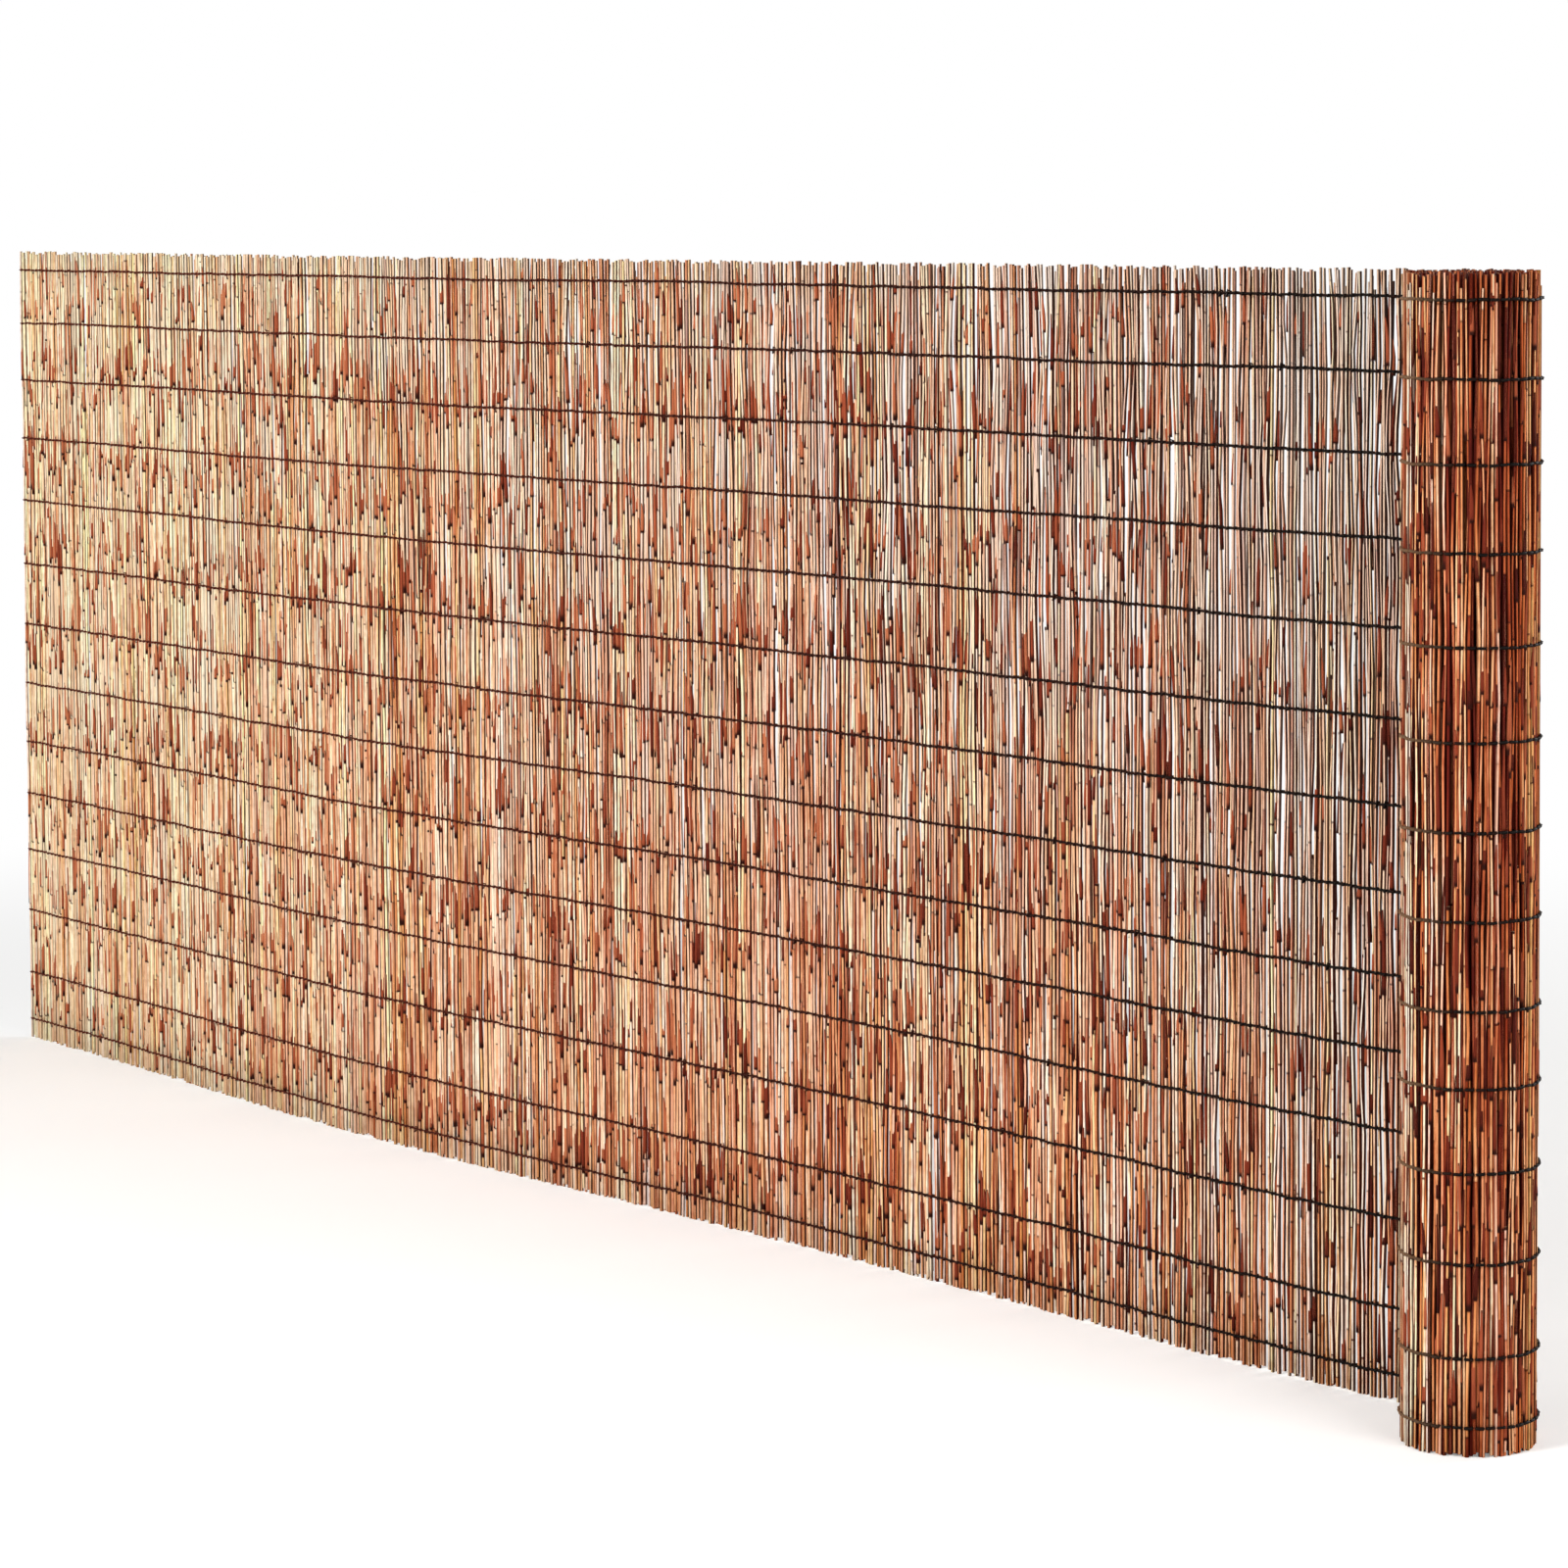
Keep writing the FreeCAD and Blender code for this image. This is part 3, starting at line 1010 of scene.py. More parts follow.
class ReedTree(ShapeTree):
    """The tree that sets out reeds and their leaf sheaths along a line.

    A place on the line has up to three stems: a front one, one of the second layer, and the rest
    of a front one that ends part of the way.
    """

    KINDS = 3
    SHEATH_RINGS = 2
    MIDDLE_HEIGHT = 0.75
    # Shares of a reed's height between which short ones end, and the length of its joints
    LOW_CUT = (0.15, 0.85)
    HIGH_CUT = (0.15, 0.92)
    LOW_CUT_SHARE = 0.36
    JOINT_LENGTH = (0.11, 0.19)
    # Bands of the bake map that stems and sheaths take, and the rim left free round each
    STEM_BAND = (0.0, 0.78)
    SHEATH_BAND = (0.80, 1.0)
    MAP_RIM = 0.06
    SIDE_RIM = 0.04
    END_STRIPS = (0.002, 0.967)
    END_STRIP_HEIGHT = 0.06
    # Share of sheaths kept at the free end and in the roll, and what is lost just before the roll
    SHEATHS_KEPT = (1.0, 0.66)
    SHEATHS_LOST = 0.44
    NEAR_ROLL = (0.56, 0.68)
    # How fast a stem waves sideways, sways in depth, is crowded and wobbles in girth
    WAVE_SCALE = (7.31, 5.5)
    SWAY_SCALE = (5.17, 2.3)
    CROWD_SCALE = (110.0, 5.4)
    WOBBLE_SCALE = (3.9, 31.0)
    # The second layer is thinner, and each ring's girth starts at a least share and wavers.
    SECOND_GIRTH = 0.84
    RING_GIRTH = (0.92, 0.16)
    # A sheath's girth at the free end and in the roll, and how far and how fast it narrows
    SHEATH_GIRTH = (1.14, 1.26)
    SHEATH_NARROWS = 0.85
    SHEATH_POINT = (1.8, 4.5)
    WORKING_VALUES = (
        "place", "heading", "place_number", "reed_kind", "reed_rest", "reed_map", "reed_foot",
        "reed_top", "sheath_row", "sheath_foot", "sheath_size",
    )

    def __init__(self) -> None:
        """Builds the whole tree."""
        super().__init__("reeds_along_a_line")
        self.s = self.sizes(ReedSizes)
        self.s["reed"] = self.size("reed", "Material")
        self.s["sheath"] = self.size("sheath", "Material")
        self.stem = self.read("reed_id")
        self.layer = self.read("reed_layer")
        self.rest = self.read("reed_rest")
        points = self._ends(self._places())
        stems = self._stems(points)
        both = self.put("GeometryNodeJoinGeometry", {0: self._sheaths(points)})
        self.tree.links.new(stems, both.inputs[0])
        self.give(self.forget(both.outputs[0], self.WORKING_VALUES))

    def _places(self) -> Socket:
        """Returns points along the line, three for each place, that know their place and kind."""
        s = self.s
        points = self.keep(self.resampled(s["spacing"]), "place_number", self.number())
        along = self.put("GeometryNodeSplineParameter").outputs[0]
        points = self.keep(points, "reed_share", self.mix(along, s["share_from"], s["share_to"]))
        tangent = self.put("GeometryNodeInputTangent").outputs[0]
        points = self.keep(points, "heading", tangent, "FLOAT_VECTOR")
        points = self.keep(points, "place", self.position(), "FLOAT_VECTOR")
        points = self.put(
            "GeometryNodeCurveToPoints", {"Curve": points}, mode="EVALUATED"
        ).outputs[0]
        number = self.read("place_number")
        points = self.without(
            points, self.math("LESS_THAN", number, s["first"]), self.more(number, s["last"])
        )
        points = self.copied(points, self.KINDS, "reed_kind")
        kind = self.read("reed_kind")
        points = self.keep(points, "reed_layer", self.math("COMPARE", kind, 1.0, 0.1))
        points = self.keep(points, "reed_rest", self.math("COMPARE", kind, 2.0, 0.1))
        return self.keep(points, "reed_id", self.total(self.times(number, float(self.KINDS)), kind))

    def _ends(self, points: Any) -> Socket:
        """Settles which stems there are, where each starts and ends, and where its joints are.

        Args:
            points: A point for each stem that there may be.

        Returns:
            A point for each stem that there is, with its ends and joints.
        """
        s, stem, layer, rest = self.s, self.stem, self.layer, self.rest
        # A front reed and its rest share the dice that say where it ends.
        pair = self.less(stem, self.times(rest, 2.0))
        dice = self.dice(pair, 4)
        short = self.mix(layer, s["short_share"], s["second_short_share"])
        points = self.without(
            points,
            self.times(rest, self.more(dice, short)),
            self.times(layer, self.more(self.dice(stem, 1), s["second_share"])),
        )
        low_end = self.times(self.math("POWER", self.dice(stem, 2), 1.6), s["tip_scatter"])
        drop = self.times(self.math("POWER", self.dice(stem, 3), 1.3), s["tip_scatter"])
        # Back reeds end lower, so that daylight shows between the front ones' tips.
        second_drop = self.times(self.dice(stem, 14), s["second_tip_drop"])
        high_end = self.less(s["height"], self.total(drop, self.times(layer, second_drop)))

        cut_low = self.math("LESS_THAN", dice, self.times(short, self.LOW_CUT_SHARE))
        cut_high = self.less(self.math("LESS_THAN", dice, short), cut_low)
        low_cut = self.times(s["height"], self.dice(pair, 5, *self.LOW_CUT))
        high_cut = self.times(s["height"], self.dice(pair, 6, *self.HIGH_CUT))
        lap = self.times(s["overlap"], self.dice(stem, 13, 0.2, 1.0))
        foot = self.choose(cut_low, low_end, self.choose(rest, low_cut, low_end))
        foot = self.choose(self.times(cut_high, rest), foot, self.less(high_cut, lap))
        top = self.choose(cut_high, high_end, self.choose(rest, high_cut, high_end))
        top = self.choose(self.times(cut_low, rest), top, self.total(low_cut, lap))

        ring_gap = self.over(self.less(top, foot), s["rings"])
        joint = self.math("ROUND", self.over(self.dice(stem, 7, *self.JOINT_LENGTH), ring_gap))
        shift = self.times(self.dice(stem, 8, 0.2, 0.8), ring_gap)
        for name, value in (
            ("knot_spacing", self.times(ring_gap, self.math("MAXIMUM", joint, 1.0))),
            ("reed_foot", foot),
            ("reed_top", top),
            ("reed_length", self.less(top, foot)),
            ("knot_foot", self.total(foot, shift)),
        ):
            points = self.keep(points, name, value)
        return points

    def _axis(self, z: Any) -> tuple[Socket, Socket]:
        """Works out how a stem runs from its foot to its tip.

        Args:
            z: Height of each ring.

        Returns:
            The stem's middle at that height, and its radius there.
        """
        s, stem, layer = self.s, self.stem, self.layer
        share = self.read("reed_share")
        wave = self.waver(stem, z, self.WAVE_SCALE)
        sway = self.waver(stem, z, self.SWAY_SCALE)
        crowd = self.waver(share, z, self.CROWD_SCALE, 1.0)
        # Stems are pushed about more towards the roll, and more high up than near the ground.
        loose = self.times(self.total(0.35, share), self.total(0.35, z))
        side = self.total(
            self.times(self.dice(stem, 9, -1.0), s["side_scatter"]),
            self.times(self.dice(stem, 10, -1.0), s["lean"], self.less(z, self.MIDDLE_HEIGHT)),
            self.times(wave, s["bend"]),
            self.times(crowd, s["drift"], loose),
            self.times(layer, self.times(s["spacing"], 0.5)),
        )
        deep = self.total(
            self.mix(layer, self.times(s["layer_depth"], -1.0), s["second_depth"]),
            self.times(self.rest, self.times(s["radius"], 0.4)),
            self.times(self.dice(stem, 11, -1.0), s["depth_scatter"]),
            self.times(sway, self.times(s["depth_scatter"], 1.5)),
        )
        ahead = self.read("heading", "FLOAT_VECTOR")
        middle = self.vector("ADD", self.read("place", "FLOAT_VECTOR"), self.scaled(ahead, side))
        middle = self.vector("ADD", middle, self.scaled(self.to_back(ahead), deep))
        narrow = self.less(1.0, self.times(s["taper"], self.over(z, s["height"])))
        uneven = self.total(1.0, self.times(self.dice(stem, 12, -1.0), s["radius_scatter"]))
        girth = self.times(s["radius"], narrow, uneven, self.mix(layer, 1.0, self.SECOND_GIRTH))
        return middle, girth

    def _tube(self, rings: Any) -> Socket:
        """Makes a closed tube one unit high and round, smooth but for its ends.

        Args:
            rings: How many bands its side has.

        Returns:
            The tube's socket.
        """
        sockets = {"Vertices": self.s["sides"], "Side Segments": rings, "Radius": 1.0, "Depth": 1.0}
        node = self.put("GeometryNodeMeshCylinder", sockets, fill_type="TRIANGLE_FAN")
        shape = self.keep(node.outputs[0], "reed_unit", self.position(), "FLOAT_VECTOR")
        shape = self.keep(shape, "reed_map", node.outputs["UV Map"], "FLOAT_VECTOR", "CORNER")
        ends = self.less(node.outputs["Top"], node.outputs["Bottom"])
        shape = self.keep(shape, "reed_end", ends, "FLOAT", "FACE")
        sockets = {"Geometry": shape, "Shade Smooth": node.outputs["Side"]}
        return self.put("GeometryNodeSetShadeSmooth", sockets).outputs[0]

    def _spread(self, shape: Any, band: Pair, row: Any, rows: float) -> Socket:
        """Lays a shape's faces out on the bake map, one column for each reed.

        Args:
            shape: The tubes.
            band: Foot and top of the band of the map that these tubes take.
            row: Number of a tube's row in the band.
            rows: How many rows the band has.

        Returns:
            The shape's new socket.
        """
        s, rim, kinds = self.s, self.MAP_RIM, float(self.KINDS)
        u, v, _ = self.split(self.read("reed_map", "FLOAT_VECTOR"))
        end = self.read("reed_end")
        is_end = self.math("ABSOLUTE", end)
        count = self.times(self.total(self.less(s["last"], s["first"]), 1.0), kinds)
        column = self.less(self.stem, self.times(s["first"], kinds))
        end_u = self.math("FRACT", self.times(u, 2.0))
        inner_u = self.total(rim, self.times(self.mix(is_end, u, end_u), 1 - 2 * rim))
        side_v = self.times(self.less(self.times(v, 2.0), 1.0), 1 - 2 * self.SIDE_RIM)
        side_v = self.total(self.SIDE_RIM, side_v)
        end_foot = self.mix(self.more(end, 0.0), *self.END_STRIPS)
        end_v = self.total(end_foot, self.times(v, self.END_STRIP_HEIGHT))
        inner_v = self.mix(is_end, side_v, end_v)
        map_u = self.over(self.total(column, inner_u), count)
        map_v = self.mix(self.over(self.total(row, inner_v), rows), *band)
        return self.keep(shape, BAKE_MAP, self.join(map_u, map_v), "FLOAT2", "CORNER")

    def _stand(self, shape: Any, z: Any, factor: Any, off_middle: Any = 0.0) -> Socket:
        """Moves tubes to their stems.

        Args:
            shape: The tubes.
            z: Height of each ring.
            factor: A ring's radius as a share of the stem's.
            off_middle: How far a ring stands off the stem's middle to the back, as a share of the
                stem's radius.

        Returns:
            The shape's new socket.
        """
        middle, girth = self._axis(z)
        ahead = self.read("heading", "FLOAT_VECTOR")
        ux, uy, _ = self.split(self.read("reed_unit", "FLOAT_VECTOR"))
        deep = self.times(girth, self.total(self.times(uy, factor), off_middle))
        wide = self.times(ux, self.times(girth, factor))
        where = self.vector("ADD", middle, self.scaled(ahead, wide))
        where = self.vector("ADD", where, self.scaled(self.to_back(ahead), deep))
        where = self.vector("ADD", where, self.join(0.0, 0.0, z))
        return self.put("GeometryNodeSetPosition", {"Geometry": shape, "Position": where}).outputs[0]

    def _level(self) -> Socket:
        """Returns the share of a tube's height at which a ring lies."""
        return self.total(self.split(self.read("reed_unit", "FLOAT_VECTOR"))[2], 0.5)

    def _stems(self, points: Any) -> Socket:
        """Makes the stems, with their rings at the joints.

        Args:
            points: A point for each stem.

        Returns:
            The stems' socket.
        """
        s = self.s
        stems = self.on_points(points, self._tube(s["rings"]))
        level, foot = self._level(), self.read("reed_foot")
        tall = self.less(self.read("reed_top"), foot)
        inner = self.math("LESS_THAN", self.math("ABSOLUTE", self.less(level, 0.5)), 0.49)
        half_gap = self.over(tall, self.times(s["rings"], 2.0))
        to_joint = self.less(self.read("knot_foot"), self.total(foot, half_gap))
        z = self.total(foot, self.times(level, tall), self.times(inner, to_joint))
        wobble = self.grain(self.stem, z, self.WOBBLE_SCALE)
        least, spread = self.RING_GIRTH
        stems = self._stand(stems, z, self.total(least, self.times(wobble, spread)))
        return self.finished(self._spread(stems, self.STEM_BAND, 0.0, 1.0), s["reed"])

    def _sheaths(self, points: Any) -> Socket:
        """Makes the sheaths, each from a joint to a point on one side of its stem.

        Args:
            points: A point for each stem.

        Returns:
            The sheaths' socket.
        """
        s, share, row = self.s, self.read("reed_share"), self.read("sheath_row")
        rows = ReedSizes.rings + 1
        leaves = self.copied(points, rows, "sheath_row")
        leaf_id = self.total(self.times(self.stem, float(rows)), row)
        leaves = self.keep(leaves, "sheath_id", leaf_id)
        leaf = self.read("sheath_id")
        spread = self.times(self.math("POWER", self.dice(leaf, 21), 1.7), s["sheath_spread"])
        size = self.total(spread, s["shortest_sheath"])
        joint = self.total(self.read("knot_foot"), self.times(row, self.read("knot_spacing")))
        leaves = self.keep(leaves, "sheath_foot", joint)
        leaves = self.keep(leaves, "sheath_size", size)
        # Towards the roll fewer sheaths are left.
        near_roll = self.times(
            self.ramp_value(share, *self.NEAR_ROLL), self.math("LESS_THAN", share, ROLL_START)
        )
        kept = self.less(
            self.mix(share, *self.SHEATHS_KEPT), self.times(near_roll, self.SHEATHS_LOST)
        )
        kept = self.times(s["sheath_share"], kept)
        leaves = self.without(
            leaves,
            self.more(self.total(joint, size), self.read("reed_top")),
            self.more(self.dice(leaf, 22), kept),
        )
        leaves = self.on_points(leaves, self._tube(self.SHEATH_RINGS))
        level = self._level()
        z = self.total(self.read("sheath_foot"), self.times(level, self.read("sheath_size")))
        narrowed = self.math("POWER", level, self.dice(leaf, 23, *self.SHEATH_POINT))
        narrowed = self.times(narrowed, self.SHEATH_NARROWS)
        side = self.math("SIGN", self.dice(leaf, 24, -1.0))
        girth = self.less(self.mix(share, *self.SHEATH_GIRTH), narrowed)
        leaves = self._stand(leaves, z, girth, self.times(side, narrowed))
        return self.finished(self._spread(leaves, self.SHEATH_BAND, row, float(rows)), s["sheath"])


@dataclass
class Reeds:
    """The mat's reeds with their leaf sheaths, in bays along the run and in parts of the roll."""

    sizes: ReedSizes = ReedSizes()
    bays: int = 12
    roll_parts: int = 3
    pieces: list[bpy.types.Object] = field(default_factory=list)

    def _plan(self) -> tuple[tuple[Stretch, str, str, int, ReedSizes], ...]:
        """Returns each stretch with its pieces' name, CAD node, number of pieces and sizes."""
        run = replace(self.sizes, share_to=ROLL_START)
        outer = replace(
            self.sizes, share_from=ROLL_START, share_to=INNER_START, seed=self.sizes.seed + 300,
            spacing=self.sizes.spacing * 0.94, depth_scatter=self.sizes.depth_scatter * 0.6,
            second_depth=-0.0012, layer_depth=0.0030, drift=0.0,
        )
        inner = replace(
            self.sizes, share_from=INNER_START, seed=self.sizes.seed + 600, second_share=0.25,
            drift=0.0, bend=0.002, sheath_share=0.1,
        )
        return (
            (Stretch.RUN, "open_reeds", "open_reed_mat", self.bays, run),
            (Stretch.OUTER_TURN, "outer_turn_reeds", "rolled_reed_mat", self.roll_parts, outer),
            (Stretch.INNER_TURNS, "inner_turn_reeds", "rolled_reed_mat", self.roll_parts, inner),
        )

    def build(self, line: MatLine, reed: Material, sheath: Material) -> None:
        """Grows the reeds of the run in bays and those of the roll in parts.

        Args:
            line: The mat's line.
            reed: Finish of the stems.
            sheath: Finish of the leaf sheaths.
        """
        tree = ReedTree()
        for stretch, name, node, parts, sizes in self._plan():
            places = int(line.length(stretch) / sizes.spacing) + 1
            # The last place of a stretch is the first of the next.
            count = places if stretch is Stretch.INNER_TURNS else places - 1
            for part in range(parts):
                first = math.ceil(count * part / parts)
                last = math.ceil(count * (part + 1) / parts) - 1
                values = asdict(replace(sizes, first=first, last=last))
                piece = tree.grow(
                    f"{name}_{part + 1:02d}", line.stretches[stretch],
                    values | {"reed": reed, "sheath": sheath},
                )
                dress(piece, [node])
                self.pieces.append(piece)


# The binding


@dataclass(frozen=True)
class BindingSizes:
    """Sizes of one row of wire, each an input of its tree."""

    row_height: float = 0.0
    wave: float = 0.0060
    kink: float = 0.0040
    knot_share: float = 0.03
    carrier_radius: float = 0.0018
    carrier_depth: float = -0.0058
    carrier_step: float = 0.012
    stitch_radius: float = 0.0017
    stitch_pitch: float = 0.0140
    stitch_middle: float = -0.0028
    stitch_reach: float = 0.0055
    stitch_lift: float = 0.0014
    stitch_points: int = 8
    seed: int = 5


class BindingTree(ShapeTree):
    """The tree that lays one row of binding along a line."""

    WIRE_SIDES = 4
    # The wire's girth at the mat's free end and at the roll, and what the roll's turn adds
    GIRTH = (0.68, 1.08)
    TURN_START = 0.874
    TURN_GIRTH = 0.3
    KNOT_LIFT = 3.2
    SLOW_SCALE = (2.2, 1.7)
    QUICK_SCALE = (30.0, 3.1)
    # How many points before the end of a stitch the wire goes over the carrier
    OVER_POINT = 2.5

    def __init__(self) -> None:
        """Builds the whole tree."""
        super().__init__("binding_row")
        self.s = s = self.sizes(BindingSizes)
        s["carrier"] = self.size("carrier", "Material")
        s["stitch"] = self.size("stitch", "Material")
        curve = self.resampled(s["carrier_step"])
        carrier = self._laid(curve, s["carrier_depth"], 0.0, s["carrier_radius"], s["carrier"])
        curve = self.resampled(self.over(s["stitch_pitch"], s["stitch_points"]))
        number = self.math("FLOORED_MODULO", self.number(), s["stitch_points"])
        # The wire runs along the back, and once in a stitch comes through and up over the carrier.
        past = self.less(number, self.less(s["stitch_points"], self.OVER_POINT))
        away = self.math("ABSOLUTE", past)
        side = self.ramp_value(away, 0.5, 1.5, -1.0, 1.0)
        deep = self.total(s["stitch_middle"], self.times(side, s["stitch_reach"]))
        rise = self.times(self.math("SIGN", past), self.ramp_value(away, 0.5, 1.5, 1.0, 0.0))
        stitch_id = self.math("FLOOR", self.over(self.number(), s["stitch_points"]))
        knotted = self.math(
            "LESS_THAN", self.chance(0.0, 1.0, stitch_id, s["seed"]), s["knot_share"]
        )
        lift = self.times(rise, s["stitch_lift"], self.mix(knotted, 1.0, self.KNOT_LIFT))
        stitch = self._laid(curve, deep, lift, s["stitch_radius"], s["stitch"])
        both = self.put("GeometryNodeJoinGeometry", {0: stitch})
        self.tree.links.new(carrier, both.inputs[0])
        smooth = self.put("GeometryNodeSetShadeSmooth", {"Geometry": both.outputs[0]}).outputs[0]
        self.give(self.put("GeometryNodeRealizeInstances", {"Geometry": smooth}).outputs[0])

    def _laid(self, curve: Any, deep: Any, lift: Any, radius: Any, material: Any) -> Socket:
        """Moves a curve to its row and gives it a round section.

        Args:
            curve: The curve, along the mat's line.
            deep: How far it lies to the mat's back.
            lift: How far it lies above its row's height.
            radius: The wire's radius.
            material: The wire's finish.

        Returns:
            The wire's socket.
        """
        gone = self.put("GeometryNodeSplineParameter").outputs[1]
        slow = self.waver(gone, self.s["seed"], self.SLOW_SCALE, 2.0, 0.6)
        quick = self.waver(gone, self.s["seed"], self.QUICK_SCALE, 1.0)
        waves = self.times(slow, self.s["wave"])
        kinks = self.times(quick, self.s["kink"])
        z = self.total(self.s["row_height"], lift, waves, kinks)
        back = self.to_back(self.put("GeometryNodeInputTangent").outputs[0])
        move = self.vector("ADD", self.scaled(back, deep), self.join(0.0, 0.0, z))
        curve = self.put("GeometryNodeSetPosition", {"Geometry": curve, "Offset": move}).outputs[0]
        return self._drawn(curve, radius, material)

    def _drawn(self, curve: Any, radius: Any, material: Any) -> Socket:
        """Gives a curve a round section, thinner towards the mat's free end.

        Args:
            curve: The curve.
            radius: The wire's radius.
            material: The wire's finish.

        Returns:
            The wire's socket.
        """
        gone = self.put("GeometryNodeSplineParameter").outputs[0]
        on_turn = self.times(self.more(gone, self.TURN_START), self.TURN_GIRTH)
        scale = self.total(self.mix(gone, *self.GIRTH), on_turn)
        ring = self.put(
            "GeometryNodeCurvePrimitiveCircle", {"Resolution": self.WIRE_SIDES, "Radius": radius},
            mode="RADIUS",
        ).outputs[0]
        sockets = {"Curve": curve, "Profile Curve": ring, "Scale": scale, "Fill Caps": True}
        return self.finished(self.put("GeometryNodeCurveToMesh", sockets).outputs[0], material)


@dataclass
class Binding:
    """The rows of wire: each a carrier along the front and a stitch wire round it and the reeds."""

    row_spaces: tuple[float, ...] = (
        0.91, 0.98, 1.02, 1.07, 1.10, 1.05, 1.03, 1.02, 0.91, 0.98, 1.06, 1.10, 0.81,
    )
    top_row: float = 1.464
    bottom_row: float = 0.038
    sizes: BindingSizes = BindingSizes()
    pieces: list[bpy.types.Object] = field(default_factory=list)

    def heights(self) -> list[float]:
        """Returns the heights of the rows from the top down."""
        total = sum(self.row_spaces)
        fall = self.top_row - self.bottom_row
        result = [self.top_row]
        for space in self.row_spaces:
            result.append(result[-1] - fall * space / total)
        return result

    def build(self, line: MatLine, carrier: Material, stitch: Material) -> None:
        """Lays every row.

        Args:
            line: The mat's line.
            carrier: Finish of the carrier wires.
            stitch: Finish of the stitch wires.
        """
        tree = BindingTree()
        for number, height in enumerate(self.heights(), start=1):
            sizes = replace(self.sizes, row_height=height, seed=self.sizes.seed + number)
            piece = tree.grow(
                f"binding_row_{number:02d}", line.bound(),
                asdict(sizes) | {"carrier": carrier, "stitch": stitch},
            )
            dress(piece, [f"carrier_wire_{number:02d}", f"stitch_wire_{number:02d}"])
            self.pieces.append(piece)


def triangles(piece: bpy.types.Object) -> int:
    """Returns how many triangles a piece has."""
    return sum(len(polygon.vertices) - 2 for polygon in piece.data.polygons)


def dress(piece: bpy.types.Object, nodes: Sequence[str]) -> None:
    """Hands a finished piece to the frame and reports it.

    Args:
        piece: The piece, with its mesh in place.
        nodes: CAD nodes that it stands for.
    """
    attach(piece, BODY)
    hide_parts(*nodes)
    log.info("%s: %d triangles, for %s", piece.name, triangles(piece), ", ".join(nodes))


# The studio


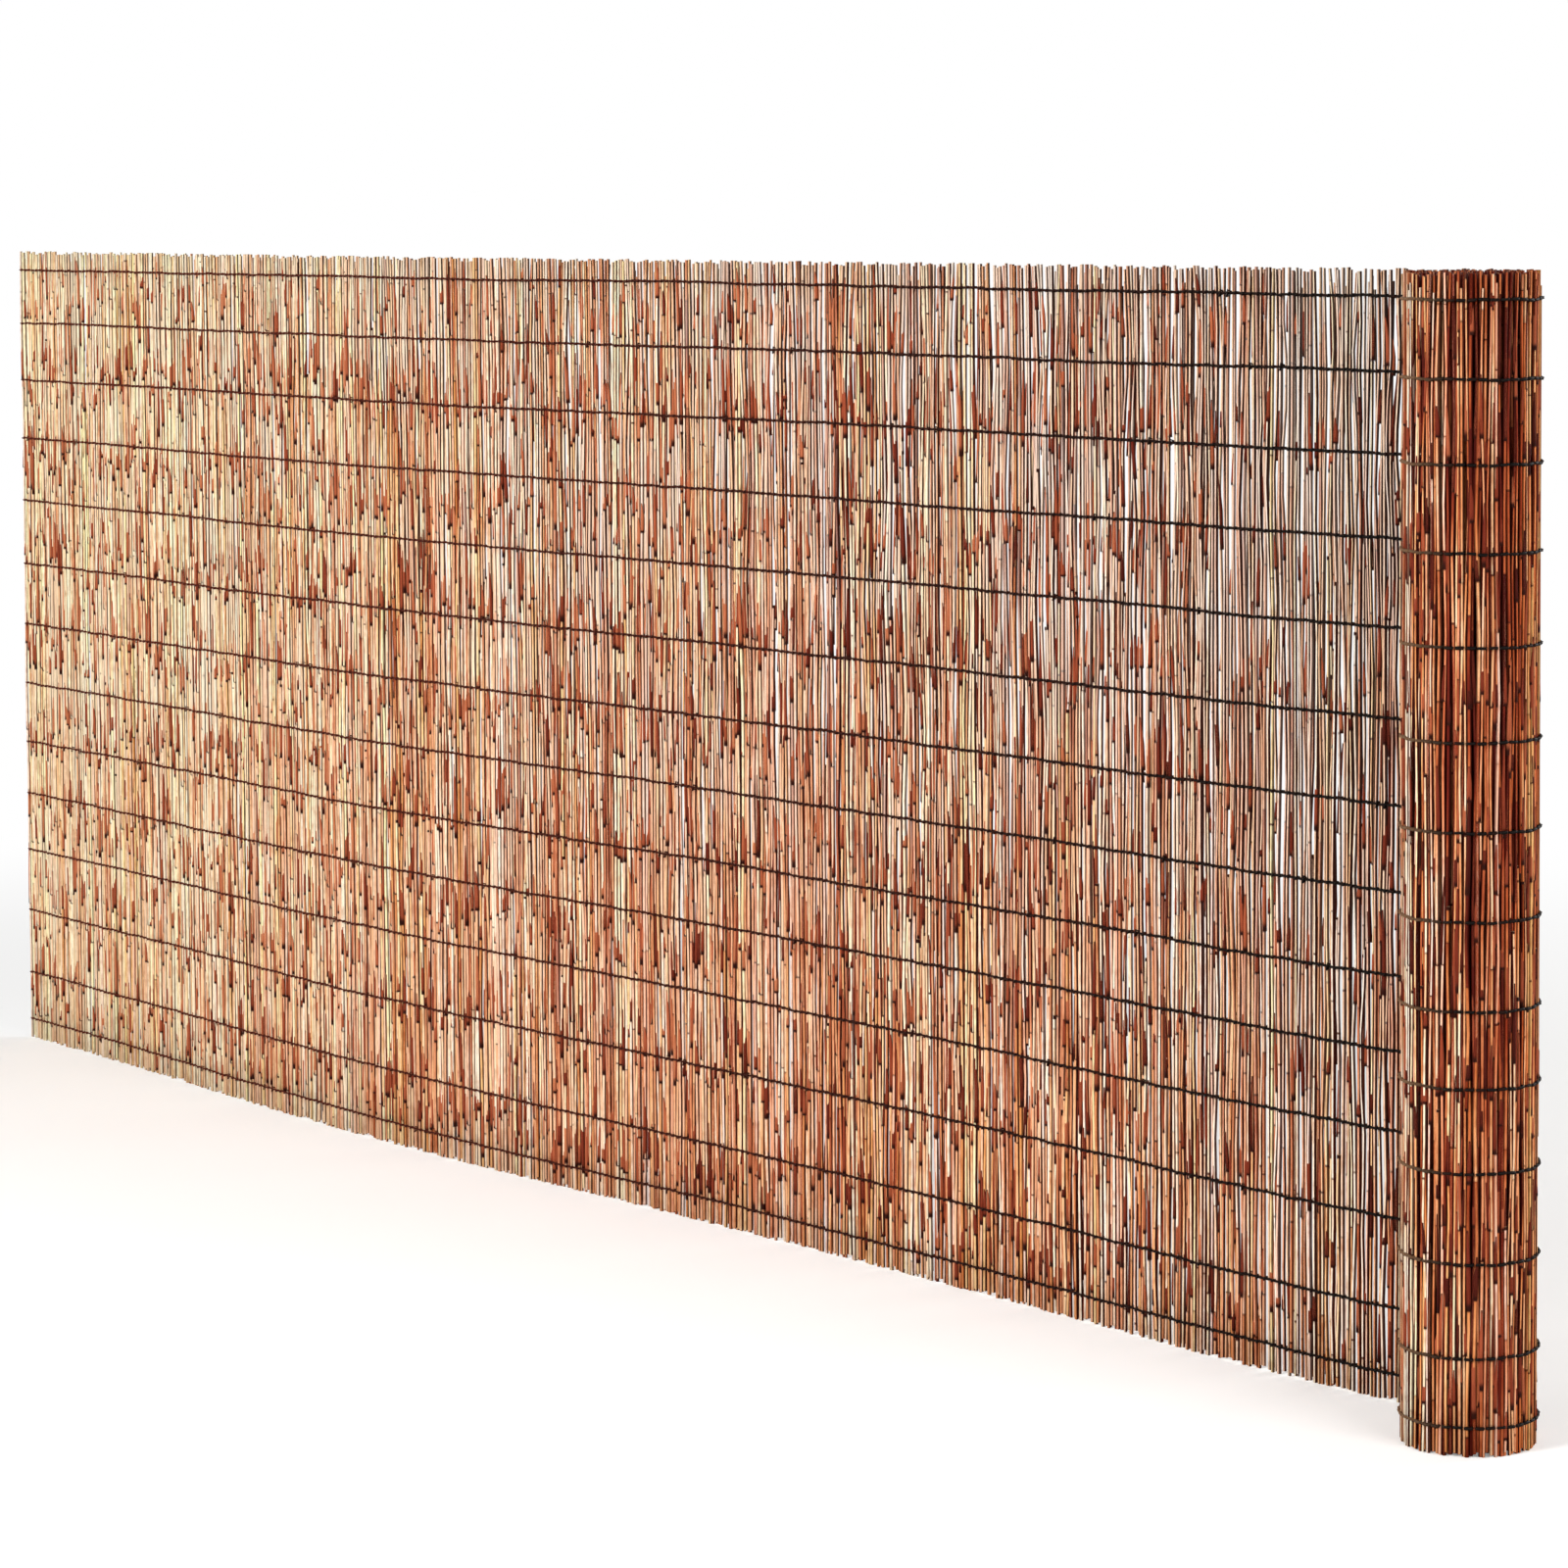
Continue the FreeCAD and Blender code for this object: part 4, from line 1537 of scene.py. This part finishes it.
@dataclass
class Studio:
    """Floor, lights and camera."""

    floor_half: float = 30.0
    camera_place: Place = (5.8023, -4.4240, 1.6023)
    camera_turn: float = 50.405
    camera_fall: float = 3.417
    camera_roll: float = 0.318
    focal_pixels: float = 4748.7
    sensor: float = 36.0
    frame_shift: float = -0.20
    key_power: float = 590.0
    key_size: float = 2.4
    soft_size: float = 3.6
    key_place: Place = (0.6, -7.0, 3.4)
    key_target: Place = (0.6, 0.0, 0.7)
    fill_power: float = 200.0
    fill_place: Place = (7.2, -0.5, 2.6)
    fill_target: Place = (1.4, 0.0, 0.7)
    back_power: float = 260.0
    back_place: Place = (2.5, 6.5, 3.2)
    back_target: Place = (0.4, 0.0, 0.7)
    world_level: float = 0.25

    def build(self) -> None:
        """Lays the floor and sets the lights, the world and the camera."""
        self._floor()
        self._lamp("key_light", self.key_place, self.key_target, self.key_power, self.key_size)
        self._lamp("fill_light", self.fill_place, self.fill_target, self.fill_power, self.soft_size)
        self._lamp("back_light", self.back_place, self.back_target, self.back_power, self.soft_size)
        self._world()
        self._camera()
        bpy.context.scene.view_settings.view_transform = "Standard"

    def _floor(self) -> None:
        """Lays the floor under the mat."""
        half = self.floor_half
        mesh = bpy.data.meshes.new("floor")
        corners = ((-half, -half, 0.0), (half, -half, 0.0), (half, half, 0.0), (-half, half, 0.0))
        mesh.from_pydata(corners, [], [(0, 1, 2, 3)])
        mesh.materials.append(FloorFinish().make())
        added("floor", mesh)

    @staticmethod
    def _lamp(
        name: str,
        place: Place,
        target: Place,
        power: float,
        size: float,
    ) -> None:
        """Hangs a square area light.

        Args:
            name: Name of the light.
            place: Where it hangs.
            target: What it points at.
            power: Its power in watts.
            size: Length of its sides.
        """
        data = bpy.data.lights.new(name, "AREA")
        data.shape = "SQUARE"
        data.size = size
        data.energy = power
        lamp = added(name, data)
        lamp.location = place
        lamp.rotation_euler = (Vector(target) - Vector(place)).to_track_quat("-Z", "Y").to_euler()

    def _world(self) -> None:
        """Makes an even world light that the camera and mirrors see as white."""
        world = bpy.data.worlds.new("even_light")
        world.use_nodes = True
        sheet = NodeSheet(world.node_tree)
        light = sheet.put("ShaderNodeLightPath")
        mirrored = sheet.math(
            "MAXIMUM", light.outputs["Is Glossy Ray"], light.outputs["Is Transmission Ray"]
        )
        seen = sheet.math("MAXIMUM", light.outputs["Is Camera Ray"], mirrored)
        background = next(n for n in world.node_tree.nodes if n.type == "BACKGROUND")
        background.inputs["Color"].default_value = (1.0, 1.0, 1.0, 1.0)
        sheet.feed(background, "Strength", sheet.mix(seen, self.world_level, 1.0))
        bpy.context.scene.world = world

    def _camera(self) -> None:
        """Sets the camera at the photograph's viewing angle."""
        data = bpy.data.cameras.new("camera")
        data.sensor_width = self.sensor
        data.lens = self.sensor * self.focal_pixels / IMAGE_SIDE
        data.shift_y = self.frame_shift
        data.clip_end = 200.0
        camera = added("camera", data)
        turn = Matrix.Rotation(math.radians(self.camera_turn), 4, "Z")
        tilt = Matrix.Rotation(math.radians(90.0 - self.camera_fall), 4, "X")
        roll = Matrix.Rotation(math.radians(-self.camera_roll), 4, "Z")
        camera.matrix_world = Matrix.Translation(self.camera_place) @ turn @ tilt @ roll
        bpy.context.scene.camera = camera


def main() -> None:
    """Builds the mat's looks piece by piece."""
    logging.basicConfig(level=logging.INFO, format="%(name)s %(message)s")
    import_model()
    Studio().build()
    line = MatLine()
    log.info("run %.3f m, outer turn %.3f m, inner turns %.3f m", *(line.length(s) for s in Stretch))
    reeds = Reeds()
    reeds.build(line, ReedFinish().make(), SheathFinish().make())
    binding = Binding()
    binding.build(line, WireFinish("carrier_wire_skin").make(), WireFinish("stitch_wire_skin").make())
    log.info("%d triangles in all", sum(map(triangles, reeds.pieces + binding.pieces)))


if __name__ == "__main__":
    main()
